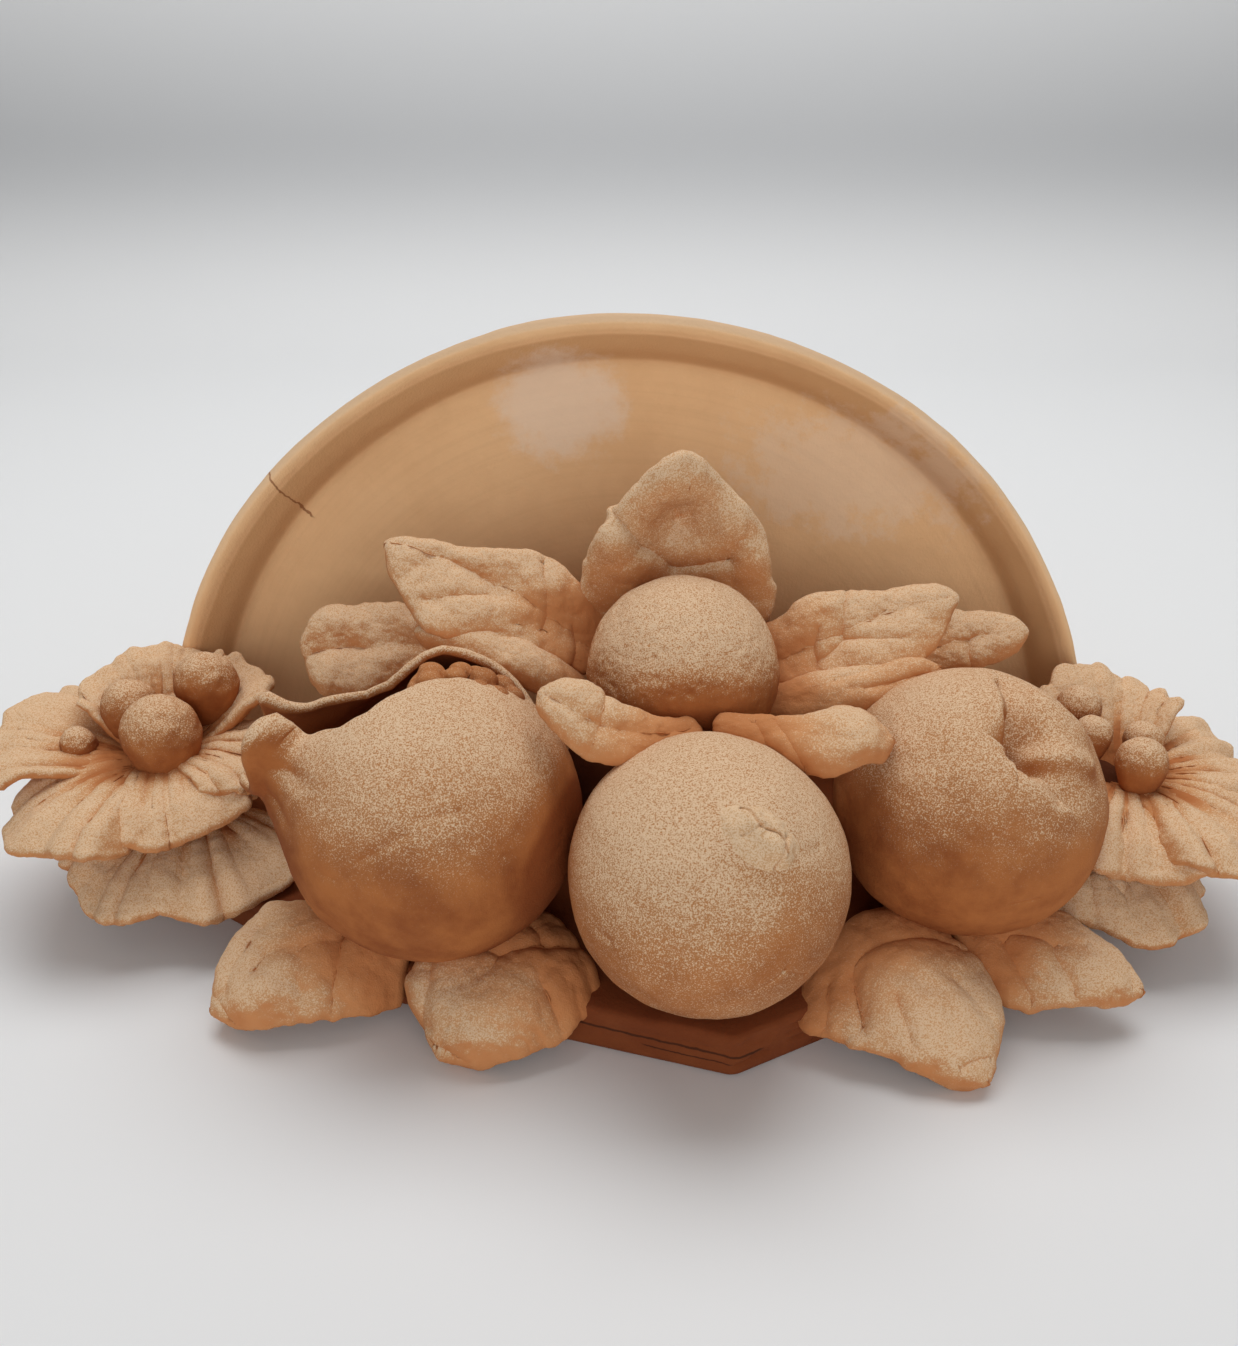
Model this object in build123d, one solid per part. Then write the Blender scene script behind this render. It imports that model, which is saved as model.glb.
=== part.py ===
from build123d import *
import math
import os

# Fired-clay centrepiece: a half-round dish standing on an eight-sided slab, with fruits,
# leaves and two flowers luted to the slab. Millimetres, +Z up, +X right, +Y to the rear.
# The origin is the middle of the slab's underside.

SLAB_THICK = 13.0
SLAB_CORNERS = [
    (26, -69), (-70, -40), (-141, 10), (-136, 70),
    (-30, 84), (92, 82), (146, 40), (114, -22),
]
SLAB_EDGE_ROUND = 1.2

DISH_RADIUS = 150.0
DISH_DEPTH = 14.0
DISH_FLOOR = 8.0
DISH_LIP = 5.0
DISH_COVE = 11.0
DISH_FOOT_Y = 48.0
DISH_LEAN = 7.0

FRONT_FRUIT = (19.1, -48.9, 47.6)
FRONT_FRUIT_RADIUS = 35.3
APPLE = (90.8, -16.6, 48.4)
APPLE_RADIUS = 36.0
APPLE_HOLLOW_RADIUS = 12.0
ORANGE = (14.5, 4.0, 77.8)
ORANGE_RADIUS = 26.2

POMEGRANATE = (-52.0, -25.7, 51.4)
POMEGRANATE_RADIUS = 38.6
POMEGRANATE_WALL = 3.0
POMEGRANATE_NECK = 12.5
POMEGRANATE_MOUTH = 15.5
CROWN_WAY = (-0.92, 0.04, 0.39)
SLIT_WAY = (0.34, 0.50, 0.80)
SLIT_WIDTH = 8.0
SEED_RADIUS = 3.4

LEAF_THICK = 4.6
PETAL_THICK = 3.6

# Half-widths from base to tip, as shares of the widest half-width.
PETAL_FAN = [0.35, 0.72, 0.98, 1.0, 0.88, 0.55]

parts = {}


def lerp(values, t):
    """Read an evenly spaced list at t in 0..1."""
    place = t * (len(values) - 1)
    i = min(int(place), len(values) - 2)
    return values[i] + (values[i + 1] - values[i]) * (place - i)


def body_of(shape):
    """The largest solid of a shape."""
    return max(shape.solids(), key=lambda s: s.volume)


def boxes_meet(a, b):
    apart = (
        a.min.X > b.max.X or b.min.X > a.max.X
        or a.min.Y > b.max.Y or b.min.Y > a.max.Y
        or a.min.Z > b.max.Z or b.min.Z > a.max.Z
    )
    return not apart


def add(name, shape):
    """Keep a piece, pressed against the pieces before it: their volume is taken out of it."""
    box = shape.bounding_box()
    near = [other for other in parts.values() if boxes_meet(box, other.bounding_box())]
    for other in near:
        shape = shape - other
    parts[name] = body_of(shape)


def blade(base, middle, tip, up, back, front, cup, thick):
    """A leaf or petal: lens-shaped sections lofted along a curved midrib.

    back and front are the half-widths on the two sides of the midrib, from base to tip:
    back is the side to the right when looking from base to tip with up overhead.
    cup lifts the two edges towards up, as a share of the half-width.
    """
    a, m, b, n = Vector(*base), Vector(*middle), Vector(*tip), Vector(*up)
    control = m * 2 - (a + b) * 0.5
    count = len(back) + 1
    sections = []
    for i in range(count):
        t = i / (count - 1)
        rib = a * (1 - t) ** 2 + control * (2 * t * (1 - t)) + b * t**2
        along = ((control - a) * (1 - t) + (b - control) * t).normalized()
        normal = (n - along * n.dot(along)).normalized()
        side = along.cross(normal)
        right, left = lerp(back, t), lerp(front, t)
        half = thick * (0.5 if i < count - 1 else 0.35)
        ring = []
        for k in range(8):
            u = math.cos(k * math.pi / 4)
            v = math.sin(k * math.pi / 4)
            reach = right if u > 0 else left
            ring.append(rib + side * (reach * u) + normal * (half * v + cup * reach * u * u))
        sections.append(Wire(Edge.make_spline(ring, periodic=True)))
    return Solid.make_loft(sections)


def base_slab():
    slab = extrude(make_face(Polyline(*SLAB_CORNERS, close=True)), SLAB_THICK)
    return fillet(slab.edges(), SLAB_EDGE_ROUND)


def back_dish():
    """Half of a shallow round dish, cut straight across its foot and leaning back."""
    lip = DISH_RADIUS - DISH_LIP
    disc = lip - DISH_COVE
    rear = DISH_DEPTH + DISH_FLOOR
    cove = Spline(
        (disc - 4, DISH_DEPTH), (disc + 3, DISH_DEPTH - 3), (lip - 2, 2.5),
        (DISH_RADIUS - 2.5, 0), (DISH_RADIUS, 4), (DISH_RADIUS - 4, 13), (disc, rear),
    )
    outline = cove + Polyline((disc, rear), (0, rear), (0, DISH_DEPTH), (disc - 4, DISH_DEPTH))
    dish = revolve(make_face(outline), Axis.Y)
    dish = Pos(0, DISH_FOOT_Y, SLAB_THICK) * Rot(X=-DISH_LEAN) * dish
    above = Pos(0, 0, SLAB_THICK) * Box(800, 800, 400, align=(Align.CENTER, Align.CENTER, Align.MIN))
    return dish & above


def centre_mound():
    """The hidden lump of clay that carries the orange and the rear leaves."""
    levels = [(SLAB_THICK, 20, 34, 29), (34, 22, 31, 26), (52, 21, 25, 19), (62, 20, 17, 13)]
    sections = [Pos(15, y, z) * Ellipse(width, depth) for z, y, width, depth in levels]
    return loft(sections)


def sphere_at(centre, radius):
    return Pos(*centre) * Sphere(radius)


def front_fruit_nub():
    """The blossom end: a short blunt teat pressed on to the fruit's front."""
    way = Vector(0.30, -0.64, 0.71).normalized()
    foot = Vector(*FRONT_FRUIT) + way * (FRONT_FRUIT_RADIUS - 2)
    return Plane(foot, z_dir=way) * loft([Ellipse(10, 7), Pos(0, 0, 4.5) * Ellipse(6.5, 4.5)])


def apple():
    """A rounded apple with a stem hollow pressed into its upper right."""
    way = Vector(0.16, -0.50, 0.85).normalized()
    hollow = Vector(*APPLE) + way * (APPLE_RADIUS + APPLE_HOLLOW_RADIUS * 0.6)
    return sphere_at(APPLE, APPLE_RADIUS) - sphere_at(hollow, APPLE_HOLLOW_RADIUS)


def pomegranate_form(radius, neck, mouth, top):
    """Solid of revolution about the crown's own axis: round body, neck and flared crown."""
    profile = Spline(
        (0, -radius), (radius * 0.71, -radius * 0.71), (radius, 0), (radius * 0.80, radius * 0.60),
        (neck + 3, radius * 0.98), (neck, radius * 1.10), (mouth, top),
        tangents=[(1, 0), (1, 1)],
    )
    outline = profile + Polyline((mouth, top), (0, top), (0, -radius))
    form = revolve(make_face(outline), Axis.Y)
    frame = Plane(Vector(*POMEGRANATE), x_dir=Vector(*SLIT_WAY), z_dir=Vector(*CROWN_WAY))
    return frame * Rot(X=90) * form


def pomegranate_slit():
    """The torn opening that runs from the crown over the top of the fruit."""
    frame = Plane(Vector(*POMEGRANATE), x_dir=Vector(*SLIT_WAY), z_dir=Vector(*CROWN_WAY))
    return frame * Box(60, SLIT_WIDTH, 80, align=(Align.MIN, Align.CENTER, Align.MIN))


def pomegranate_shell():
    top = POMEGRANATE_RADIUS * 1.28
    wall = POMEGRANATE_WALL
    outer = pomegranate_form(POMEGRANATE_RADIUS, POMEGRANATE_NECK, POMEGRANATE_MOUTH, top)
    inner = pomegranate_form(
        POMEGRANATE_RADIUS - wall, POMEGRANATE_NECK - wall, POMEGRANATE_MOUTH - wall, top + 1
    )
    return outer - inner - pomegranate_slit()


def pomegranate_seeds():
    """The inner mass with a row of round seeds along the slit."""
    radius = POMEGRANATE_RADIUS - POMEGRANATE_WALL - 0.3
    frame = Plane(Vector(*POMEGRANATE), x_dir=Vector(*SLIT_WAY), z_dir=Vector(*CROWN_WAY))
    crown_space = Pos(0, 0, radius * 0.42) * Box(90, 90, 60, align=(Align.CENTER, Align.CENTER, Align.MIN))
    mass = Sphere(radius) - crown_space
    for i in range(7):
        turn = math.radians(60 + 9 * i)
        seed = Pos(radius * math.sin(turn), 1.2 * (-1) ** i, radius * math.cos(turn)) * Sphere(SEED_RADIUS)
        mass = mass + seed
    return frame * mass


def leaves():
    """Leaf name: base, middle, tip, up, back widths, front widths, cup."""
    return {
        "back_leaf_centre": (
            (10, 28, 64), (15, 30, 100), (14, 23, 132), (0.1, -1, 0.2),
            [17, 23, 25, 25, 18, 5], [17, 23, 26, 25, 15, 5], 0.20,
        ),
        "back_leaf_left_front": (
            (-10, 20, 74), (-36, 20, 96), (-66, 23, 107), (0.2, -0.75, 0.6),
            [11, 13, 12, 9, 7, 4], [11, 16, 17, 15, 12, 6], 0.15,
        ),
        "back_leaf_left_rear": (
            (-46, 34, 66), (-72, 33, 72), (-96, 33, 72), (0.1, -0.8, 0.6),
            [12, 14, 13, 14, 8], [12, 14, 14, 13, 9], 0.10,
        ),
        "back_leaf_right_front": (
            (39, 17, 72), (63, 18, 84), (91, 23, 91), (-0.2, -0.75, 0.6),
            [12, 16, 18, 15, 10, 5], [12, 15, 15, 12, 8, 5], 0.15,
        ),
        "back_leaf_right_rear": (
            (76, 33, 66), (96, 33, 72), (116, 34, 75), (-0.1, -0.8, 0.6),
            [10, 11, 10, 8, 4], [10, 11, 9, 7, 4], 0.10,
        ),
        "mid_leaf_left": (
            (16, -25, 75), (-3, -34, 80), (-21, -31, 89), (-0.2, -0.6, 0.8),
            [6, 9, 10, 9, 5], [5, 9, 10, 9, 5], 0.20,
        ),
        "mid_leaf_right": (
            (23, -25, 77), (45, -31, 78), (65, -30, 76), (0.1, -0.5, 0.85),
            [5, 8, 9, 8, 4], [4, 8, 10, 8, 4], -0.15,
        ),
        "front_leaf_left_outer": (
            (-62, -32, 19), (-88, -44, 19), (-109, -53, 9), (-0.2, -0.5, 0.85),
            [12, 20, 22, 17, 8], [10, 14, 15, 12, 6], -0.20,
        ),
        "front_leaf_left_inner": (
            (-20, -34, 20), (-34, -53, 20), (-48, -68, 8), (-0.1, -0.5, 0.85),
            [10, 22, 27, 20, 8], [12, 27, 25, 16, 8], -0.20,
        ),
        "front_leaf_right_inner": (
            (60, -34, 20), (73, -55, 19), (87, -75, 7), (0.1, -0.5, 0.85),
            [12, 30, 36, 20, 6], [12, 20, 22, 17, 7], -0.15,
        ),
        "front_leaf_right_outer": (
            (90, -30, 20), (112, -41, 20), (132, -51, 15), (0.2, -0.5, 0.85),
            [12, 15, 13, 10, 5], [10, 14, 14, 9, 4], -0.15,
        ),
    }


def petal(centre, bearing, reach, rise, half_width, crown):
    """A fan-shaped petal that leaves the flower's centre on a bearing in degrees."""
    way = Vector(math.cos(math.radians(bearing)), math.sin(math.radians(bearing)), 0)
    heart = Vector(*centre)
    base = heart + way * 5
    tip = heart + way * reach + Vector(0, 0, rise)
    middle = heart + way * (reach * 0.55) + Vector(0, 0, rise * 0.4 + crown)
    widths = [half_width * share for share in PETAL_FAN]
    return blade(base, middle, tip, Vector(0, -0.2, 1), widths, widths, 0.05, PETAL_THICK)


def flower(side, foot, heart, upper, lower, berries):
    """A clay peg with a lower and an upper whorl of petals and a cluster of berries."""
    peg = loft([
        Pos(*foot) * Circle(11),
        Pos(*[(a + b) / 2 for a, b in zip(foot, heart)]) * Circle(9),
        Pos(*heart) * Circle(8),
    ])
    add(side + "_flower_core", peg)
    for i, (centre, radius) in enumerate(berries):
        add(f"{side}_flower_berry_{i + 1}", sphere_at(centre, radius))
    skirt = [foot[0] * 0.55 + heart[0] * 0.45, foot[1] * 0.55 + heart[1] * 0.45, SLAB_THICK + 12]
    for i, shape in enumerate(lower):
        add(f"{side}_flower_lower_petal_{i + 1}", petal(skirt, *shape))
    top = (heart[0], heart[1], heart[2] - 3)
    for i, shape in enumerate(upper):
        add(f"{side}_flower_upper_petal_{i + 1}", petal(top, *shape))


def left_flower():
    """Petals: bearing, reach, rise of the tip, half-width, arch."""
    upper = [
        (224, 46, -5, 23, 3), (296, 37, -2, 21, 3), (352, 36, 6, 17, 3),
        (60, 33, 19, 16, 0), (112, 35, 20, 21, 0), (168, 52, 8, 24, 0),
    ]
    lower = [(240, 42, -6, 21, 3), (305, 42, -4, 21, 3), (180, 36, -4, 18, 2), (100, 26, 4, 14, 2)]
    berries = [
        ((-134.5, 10, 54), 11.4), ((-148, 24, 55), 8.6), ((-126.5, 30, 60), 9.6), ((-162, 16, 47), 5.5),
    ]
    flower("left", (-126, 16, SLAB_THICK), (-137, 16, 46), upper, lower, berries)


def right_flower():
    """Petals: bearing, reach, rise of the tip, half-width, arch."""
    upper = [
        (262, 36, -4, 21, 3), (318, 42, -3, 19, 3), (20, 43, 1, 20, 2),
        (85, 33, 16, 19, 0), (150, 33, 12, 16, 0),
    ]
    lower = [(238, 38, -2, 19, 3), (282, 44, -6, 18, 3), (325, 34, -4, 17, 3), (90, 26, 4, 14, 2)]
    berries = [
        ((133.6, 10, 54), 5.6), ((133, 22, 56), 6.8), ((144, -1, 51), 7.4), ((149, 11, 51), 6.0),
    ]
    flower("right", (121, 14, SLAB_THICK), (142, 8, 44), upper, lower, berries)


def build():
    add("base_slab", base_slab())
    add("back_dish", back_dish())
    add("centre_mound", centre_mound())
    add("front_fruit", sphere_at(FRONT_FRUIT, FRONT_FRUIT_RADIUS))
    add("front_fruit_nub", front_fruit_nub())
    add("pomegranate_shell", pomegranate_shell())
    add("pomegranate_seeds", pomegranate_seeds())
    add("apple", apple())
    add("orange", sphere_at(ORANGE, ORANGE_RADIUS))
    for name, (base, middle, tip, up, back, front, cup) in leaves().items():
        add(name, blade(base, middle, tip, up, back, front, cup, LEAF_THICK))
    left_flower()
    right_flower()


build()
os.makedirs("parts", exist_ok=True)
for name, shape in parts.items():
    shape.label = name
    export_step(shape, f"parts/{name}.step")
    print(name, round(shape.volume))
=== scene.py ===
import math

import bpy
import numpy as np
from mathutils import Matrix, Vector


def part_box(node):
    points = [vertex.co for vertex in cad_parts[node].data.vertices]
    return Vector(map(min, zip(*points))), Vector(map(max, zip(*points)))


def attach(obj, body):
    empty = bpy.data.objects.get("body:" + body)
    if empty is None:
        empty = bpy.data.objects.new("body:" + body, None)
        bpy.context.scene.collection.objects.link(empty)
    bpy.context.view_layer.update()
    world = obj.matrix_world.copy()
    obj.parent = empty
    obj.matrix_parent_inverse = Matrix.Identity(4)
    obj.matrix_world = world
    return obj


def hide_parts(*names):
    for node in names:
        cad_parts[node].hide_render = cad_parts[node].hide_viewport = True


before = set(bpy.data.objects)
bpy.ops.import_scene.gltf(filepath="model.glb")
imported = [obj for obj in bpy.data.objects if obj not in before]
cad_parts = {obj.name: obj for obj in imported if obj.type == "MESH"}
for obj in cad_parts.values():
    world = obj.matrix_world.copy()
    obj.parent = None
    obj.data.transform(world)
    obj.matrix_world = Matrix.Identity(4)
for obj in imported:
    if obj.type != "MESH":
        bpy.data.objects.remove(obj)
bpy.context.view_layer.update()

MM = 0.001

# ---------------------------------------------------------------- noise


def hashed(ix, iy, iz, seed):
    """A repeatable pseudo-random number in -1..1 for each lattice point."""
    h = (ix * 374761393 + iy * 668265263 + iz * 1440662683 + seed * 974634777) & 0xFFFFFFFF
    h = ((h ^ (h >> 13)) * 1274126177) & 0xFFFFFFFF
    h = ((h ^ (h >> 16)) * 2246822519) & 0xFFFFFFFF
    return ((h ^ (h >> 15)) & 0xFFFFFF) / float(0x7FFFFF) - 1.0


def value_noise(p, seed):
    """Smooth noise of unit scale at the points p."""
    cell = np.floor(p).astype(np.int64)
    f = p - cell
    f = f * f * f * (f * (f * 6 - 15) + 10)
    total = 0.0
    for dx in (0, 1):
        wx = f[..., 0] if dx else 1 - f[..., 0]
        for dy in (0, 1):
            wy = f[..., 1] if dy else 1 - f[..., 1]
            for dz in (0, 1):
                wz = f[..., 2] if dz else 1 - f[..., 2]
                corner = hashed(cell[..., 0] + dx, cell[..., 1] + dy, cell[..., 2] + dz, seed)
                total = total + wx * wy * wz * corner
    return total


def flat_noise(x, y, seed):
    """Smooth noise of unit scale over two coordinates."""
    return value_noise(np.stack([x, y, 0 * y], -1), seed)


def lumps(p, size, seed, octaves=3):
    """Layered noise: size in mm is the largest lump."""
    total = 0.0
    for k in range(octaves):
        total = total + value_noise(p * (2.0**k / size) + 17.3 * k, seed + k) * 0.5**k
    return total


# ---------------------------------------------------------------- meshes


def smooth_step(x, low, high):
    t = np.clip((x - low) / (high - low), 0.0, 1.0)
    return t * t * (3 - 2 * t)


def bell(x, width):
    """1 at zero, falling off smoothly to either side over the width."""
    return np.exp(-((x / width) ** 2))


def through(values, t):
    """A smooth curve through evenly spaced values, read at t in 0..1."""
    v = np.asarray(values, float)
    place = np.clip(np.asarray(t) * (len(v) - 1), 0, len(v) - 1 - 1e-9)
    i = place.astype(int)
    f = place - i
    before = v[np.maximum(i - 1, 0)]
    here = v[i]
    after = v[i + 1]
    beyond = v[np.minimum(i + 2, len(v) - 1)]
    slope_a = (after - before) / 2
    slope_b = (beyond - here) / 2
    return (
        here * (2 * f**3 - 3 * f**2 + 1) + slope_a * (f**3 - 2 * f**2 + f)
        + after * (-2 * f**3 + 3 * f**2) + slope_b * (f**3 - f**2)
    )


def unit(v):
    v = np.asarray(v, float)
    return v / np.maximum(np.linalg.norm(v, axis=-1, keepdims=True), 1e-12)


def vertex_normals(verts, quads):
    a, b, c, d = (verts[quads[:, k]] for k in range(4))
    face = np.cross(c - a, d - b)
    normals = np.zeros_like(verts)
    for k in range(4):
        np.add.at(normals, quads[:, k], face)
    return unit(normals)


def grid_quads(rows, cols, offset=0, closed=False):
    """Quads of a rows x cols grid of vertices; closed joins the last column to the first."""
    last = cols if closed else cols - 1
    i, j = np.meshgrid(np.arange(rows - 1), np.arange(last), indexing="ij")
    i, j = i.ravel(), j.ravel()
    k = (j + 1) % cols
    return np.stack([i * cols + j, i * cols + k, (i + 1) * cols + k, (i + 1) * cols + j], 1) + offset


RIM_STEPS = 5


def thicken(sheet, thick):
    """A closed slab of clay round a sheet: two faces and a rounded rim. Returns points and quads.

    sheet is a rows x cols x 3 grid of middle points and thick the thickness there, in mm.
    """
    rows, cols = sheet.shape[:2]
    thick = np.broadcast_to(thick, (rows, cols))
    along = np.gradient(sheet, axis=0)
    across = np.gradient(sheet, axis=1)
    normal = unit(np.cross(across, along))
    half = thick[..., None] / 2
    top = (sheet + normal * half).reshape(-1, 3)
    bottom = (sheet - normal * half).reshape(-1, 3)
    down, right = range(1, rows), range(cols)
    left, up = range(cols - 2, -1, -1), range(rows - 2, 0, -1)
    ring_i = np.array([0] * cols + [*down] + [rows - 1] * (cols - 1) + [*up])
    ring_j = np.array([*right] + [cols - 1] * (rows - 1) + [*left] + [0] * (rows - 2))
    inner_i = np.clip(ring_i, 1, rows - 2)
    inner_j = np.clip(ring_j, 1, cols - 2)
    centre = sheet[ring_i, ring_j]
    n = normal[ring_i, ring_j]
    out = centre - sheet[inner_i, inner_j]
    out = unit(out - n * (out * n).sum(-1, keepdims=True))
    r = half[ring_i, ring_j]
    count = rows * cols
    rims = []
    for k in range(1, RIM_STEPS + 1):
        a = math.pi * (0.5 - k / (RIM_STEPS + 1))
        rims.append(centre + n * r * math.sin(a) + out * r * math.cos(a))
    points = np.vstack([top, bottom] + rims)
    ring = ring_i * cols + ring_j
    loops = [2 * count + k * len(ring) + np.arange(len(ring)) for k in range(RIM_STEPS)]
    loops = [ring] + loops + [ring + count]
    quads = [grid_quads(rows, cols)[:, ::-1], grid_quads(rows, cols, count)]
    for a, b in zip(loops, loops[1:]):
        quads.append(np.stack([a, np.roll(a, -1), np.roll(b, -1), b], 1))
    return points, np.vstack(quads)


def spread_to_rim(values):
    """The per-point values of a thickened sheet: both faces, then the rim loops."""
    ring = np.concatenate([values[0], values[1:, -1], values[-1, -2::-1], values[-2:0:-1, 0]])
    return np.concatenate([values.ravel(), values.ravel(), np.tile(ring, RIM_STEPS)])


def turned_out(points, quads):
    """The same quads, wound so that they face outward (positive volume)."""
    a, b, c, d = (points[quads[:, k]] for k in range(4))
    volume = (a * np.cross(b, c)).sum() + (a * np.cross(c, d)).sum()
    return quads if volume > 0 else quads[:, ::-1]


def roughened(points, quads, *layers):
    """Hand-worked clay: points pushed along their normals by noise layers (size, height, seed), in mm."""
    normals = vertex_normals(points, quads)
    push = sum(lumps(points, size, seed) * height for size, height, seed in layers)
    return points + normals * np.asarray(push)[:, None]


def put_in_scene(name, data):
    made = bpy.data.objects.new(name, data)
    bpy.context.scene.collection.objects.link(made)
    return made


def piece(name, points, quads, node, material, dust_and_shade=0.6):
    """Makes the mesh object, rides it on the body and lets it stand for its CAD node.

    The last argument, 0 to 1 per point or one number, says how much pale dust lies there; low values paint
    shade in the deep clay colour.
    """
    mesh = bpy.data.meshes.new(name)
    quads = np.asarray(quads)
    mesh.vertices.add(len(points))
    mesh.vertices.foreach_set("co", (np.asarray(points) * MM).astype(np.float32).ravel())
    mesh.loops.add(quads.size)
    mesh.loops.foreach_set("vertex_index", quads.astype(np.int32).ravel())
    mesh.polygons.add(len(quads))
    side = quads.shape[1]
    mesh.polygons.foreach_set("loop_start", np.arange(0, quads.size, side, dtype=np.int32))
    mesh.update(calc_edges=True)
    mesh.validate()
    mesh.shade_smooth()
    mesh.materials.append(material)
    # dust and painted shade: the per-point value that the clay materials read
    values = np.broadcast_to(dust_and_shade, len(points)).astype(np.float32)
    mesh.attributes.new("dust_and_shade", "FLOAT", "POINT").data.foreach_set("value", values)
    made = put_in_scene(name, mesh)
    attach(made, "root")
    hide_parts(node)
    return made


def ball(steps):
    """Unit directions and quads of a cube-sphere with steps x steps quads a side."""
    s = np.tan(np.linspace(-math.pi / 4, math.pi / 4, steps + 1))
    u, v = np.meshgrid(s, s, indexing="ij")
    one = np.ones_like(u)
    sides = [(one, u, v), (-one, v, u), (v, one, u), (u, -one, v), (u, v, one), (v, u, -one)]
    points = np.vstack([np.stack(side, -1).reshape(-1, 3) for side in sides])
    quads = np.vstack([grid_quads(steps + 1, steps + 1, k * (steps + 1) ** 2) for k in range(6)])
    points = unit(points)
    keys = np.round(points * 1e5).astype(np.int64)
    _, first, back = np.unique(keys, axis=0, return_index=True, return_inverse=True)
    return points[first], back.ravel()[quads]


# ---------------------------------------------------------------- places, from the frame


def corners_of(node):
    """Lowest and highest corner of a CAD node's box, in mm."""
    low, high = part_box(node)
    return np.array(low) / MM, np.array(high) / MM


def centre_of(node):
    low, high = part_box(node)
    return np.array((low + high) / 2) / MM


def size_of(node):
    low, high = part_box(node)
    return np.array(high - low) / MM


def near(node, offset):
    """A point given as an offset in mm from the middle of a CAD node's box."""
    return centre_of(node) + np.array(offset, float)


# reach in mm of the painted shade near the fruits
CONTACT_SHADE_REACH = 11.0
FRUITS = ("front_fruit", "apple", "orange", "pomegranate_seeds")


def fruit_contact_shade(points, but=None):
    """How close each point lies to the fruits, 1 where it touches one, other than the fruit named; it sets
    where shade is painted.
    """
    cover = np.zeros(len(points))
    for node in FRUITS:
        if node != but:
            low, high = corners_of(node)
            radius = (high[1] - low[1]) / 2
            middle = np.array([high[0] - radius, (low[1] + high[1]) / 2, high[2] - radius])
            gap = np.linalg.norm(points - middle, axis=1) - radius
            cover = np.maximum(cover, bell(np.maximum(gap, 0), CONTACT_SHADE_REACH))
    return cover


# ---------------------------------------------------------------- materials


class Nodes:
    """A small helper that adds shader nodes and links them."""

    def __init__(self, material):
        self.tree = material.node_tree
        self.tree.nodes.clear()

    def add(self, kind, inputs=None, **settings):
        node = self.tree.nodes.new(kind)
        for key, value in settings.items():
            setattr(node, key, value)
        for key, value in (inputs or {}).items():
            self.put(node.inputs[key], value)
        return node

    def put(self, socket, value):
        if isinstance(value, bpy.types.NodeSocket):
            self.tree.links.new(value, socket)
        else:
            socket.default_value = value

    def math(self, operation, a, b=0.0, clamp=False):
        node = self.add("ShaderNodeMath", {0: a, 1: b}, operation=operation, use_clamp=clamp)
        return node.outputs[0]

    def times(self, a, b, clamp=False):
        return self.math("MULTIPLY", a, b, clamp)

    def plus(self, a, b):
        return self.math("ADD", a, b)

    def vector(self, operation, a, b):
        return self.add("ShaderNodeVectorMath", {0: a, 1: b}, operation=operation).outputs[0]

    def length(self, vector):
        return self.add("ShaderNodeVectorMath", {0: vector}, operation="LENGTH").outputs["Value"]

    def noise(self, place, scale, detail=2.0, rough=0.5, distortion=0.0):
        node = self.add(
            "ShaderNodeTexNoise",
            {"Vector": place, "Scale": scale, "Detail": detail, "Roughness": rough, "Distortion": distortion},
        )
        return node.outputs[0]

    def span(self, value, low, high, out_low=0.0, out_high=1.0):
        node = self.add(
            "ShaderNodeMapRange",
            {"Value": value, "From Min": low, "From Max": high, "To Min": out_low, "To Max": out_high},
            interpolation_type="SMOOTHSTEP",
        )
        return node.outputs[0]

    def blend(self, factor, a, b, mode="MIX"):
        node = self.add("ShaderNodeMix", data_type="RGBA", blend_type=mode)
        self.put(node.inputs[0], factor)
        self.put(node.inputs[6], a)
        self.put(node.inputs[7], b)
        return node.outputs[2]


# Fired clay, linear colours: deep orange for the body's dark patches and for painted shade in recesses and
# undersides, the orange body, its tan skin and the pale dust.
DEEP = (0.26, 0.069, 0.018, 1)
BODY = (0.45, 0.155, 0.044, 1)
SKIN = (0.49, 0.220, 0.082, 1)
DUST = (0.81, 0.61, 0.41, 1)
SPECK_SIZE = 0.00036
DISH_LINE = (0.70, 0.41, 0.20, 1)
DISH_BLOOM = (0.95, 0.80, 0.66, 1)
# painted shade for the dish's surfaces that face up
DISH_TOP_SHADE = (0.55, 0.37, 0.23, 1)
# painted shade: near-black colour for the slab's slits
SLIT_SHADE = (0.05, 0.014, 0.005, 1)
SLIT_WAVER = 0.0016

# Start, end and width in metres of the slits in the slab's side.
SLAB_SLITS = (
    ((-0.020, 0, 0.0078), (0.034, 0, 0.0066), 0.0005),
    ((0.002, 0, 0.0048), (0.026, 0, 0.0043), 0.0003),
    ((0.044, 0, 0.0080), (0.062, 0, 0.0092), 0.0006),
    ((0.056, 0, 0.0055), (0.074, 0, 0.0060), 0.0003),
)


def new_material(name):
    """An empty node material, and the helper that fills it."""
    material = bpy.data.materials.new(name)
    material.use_nodes = True
    return material, Nodes(material)


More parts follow.
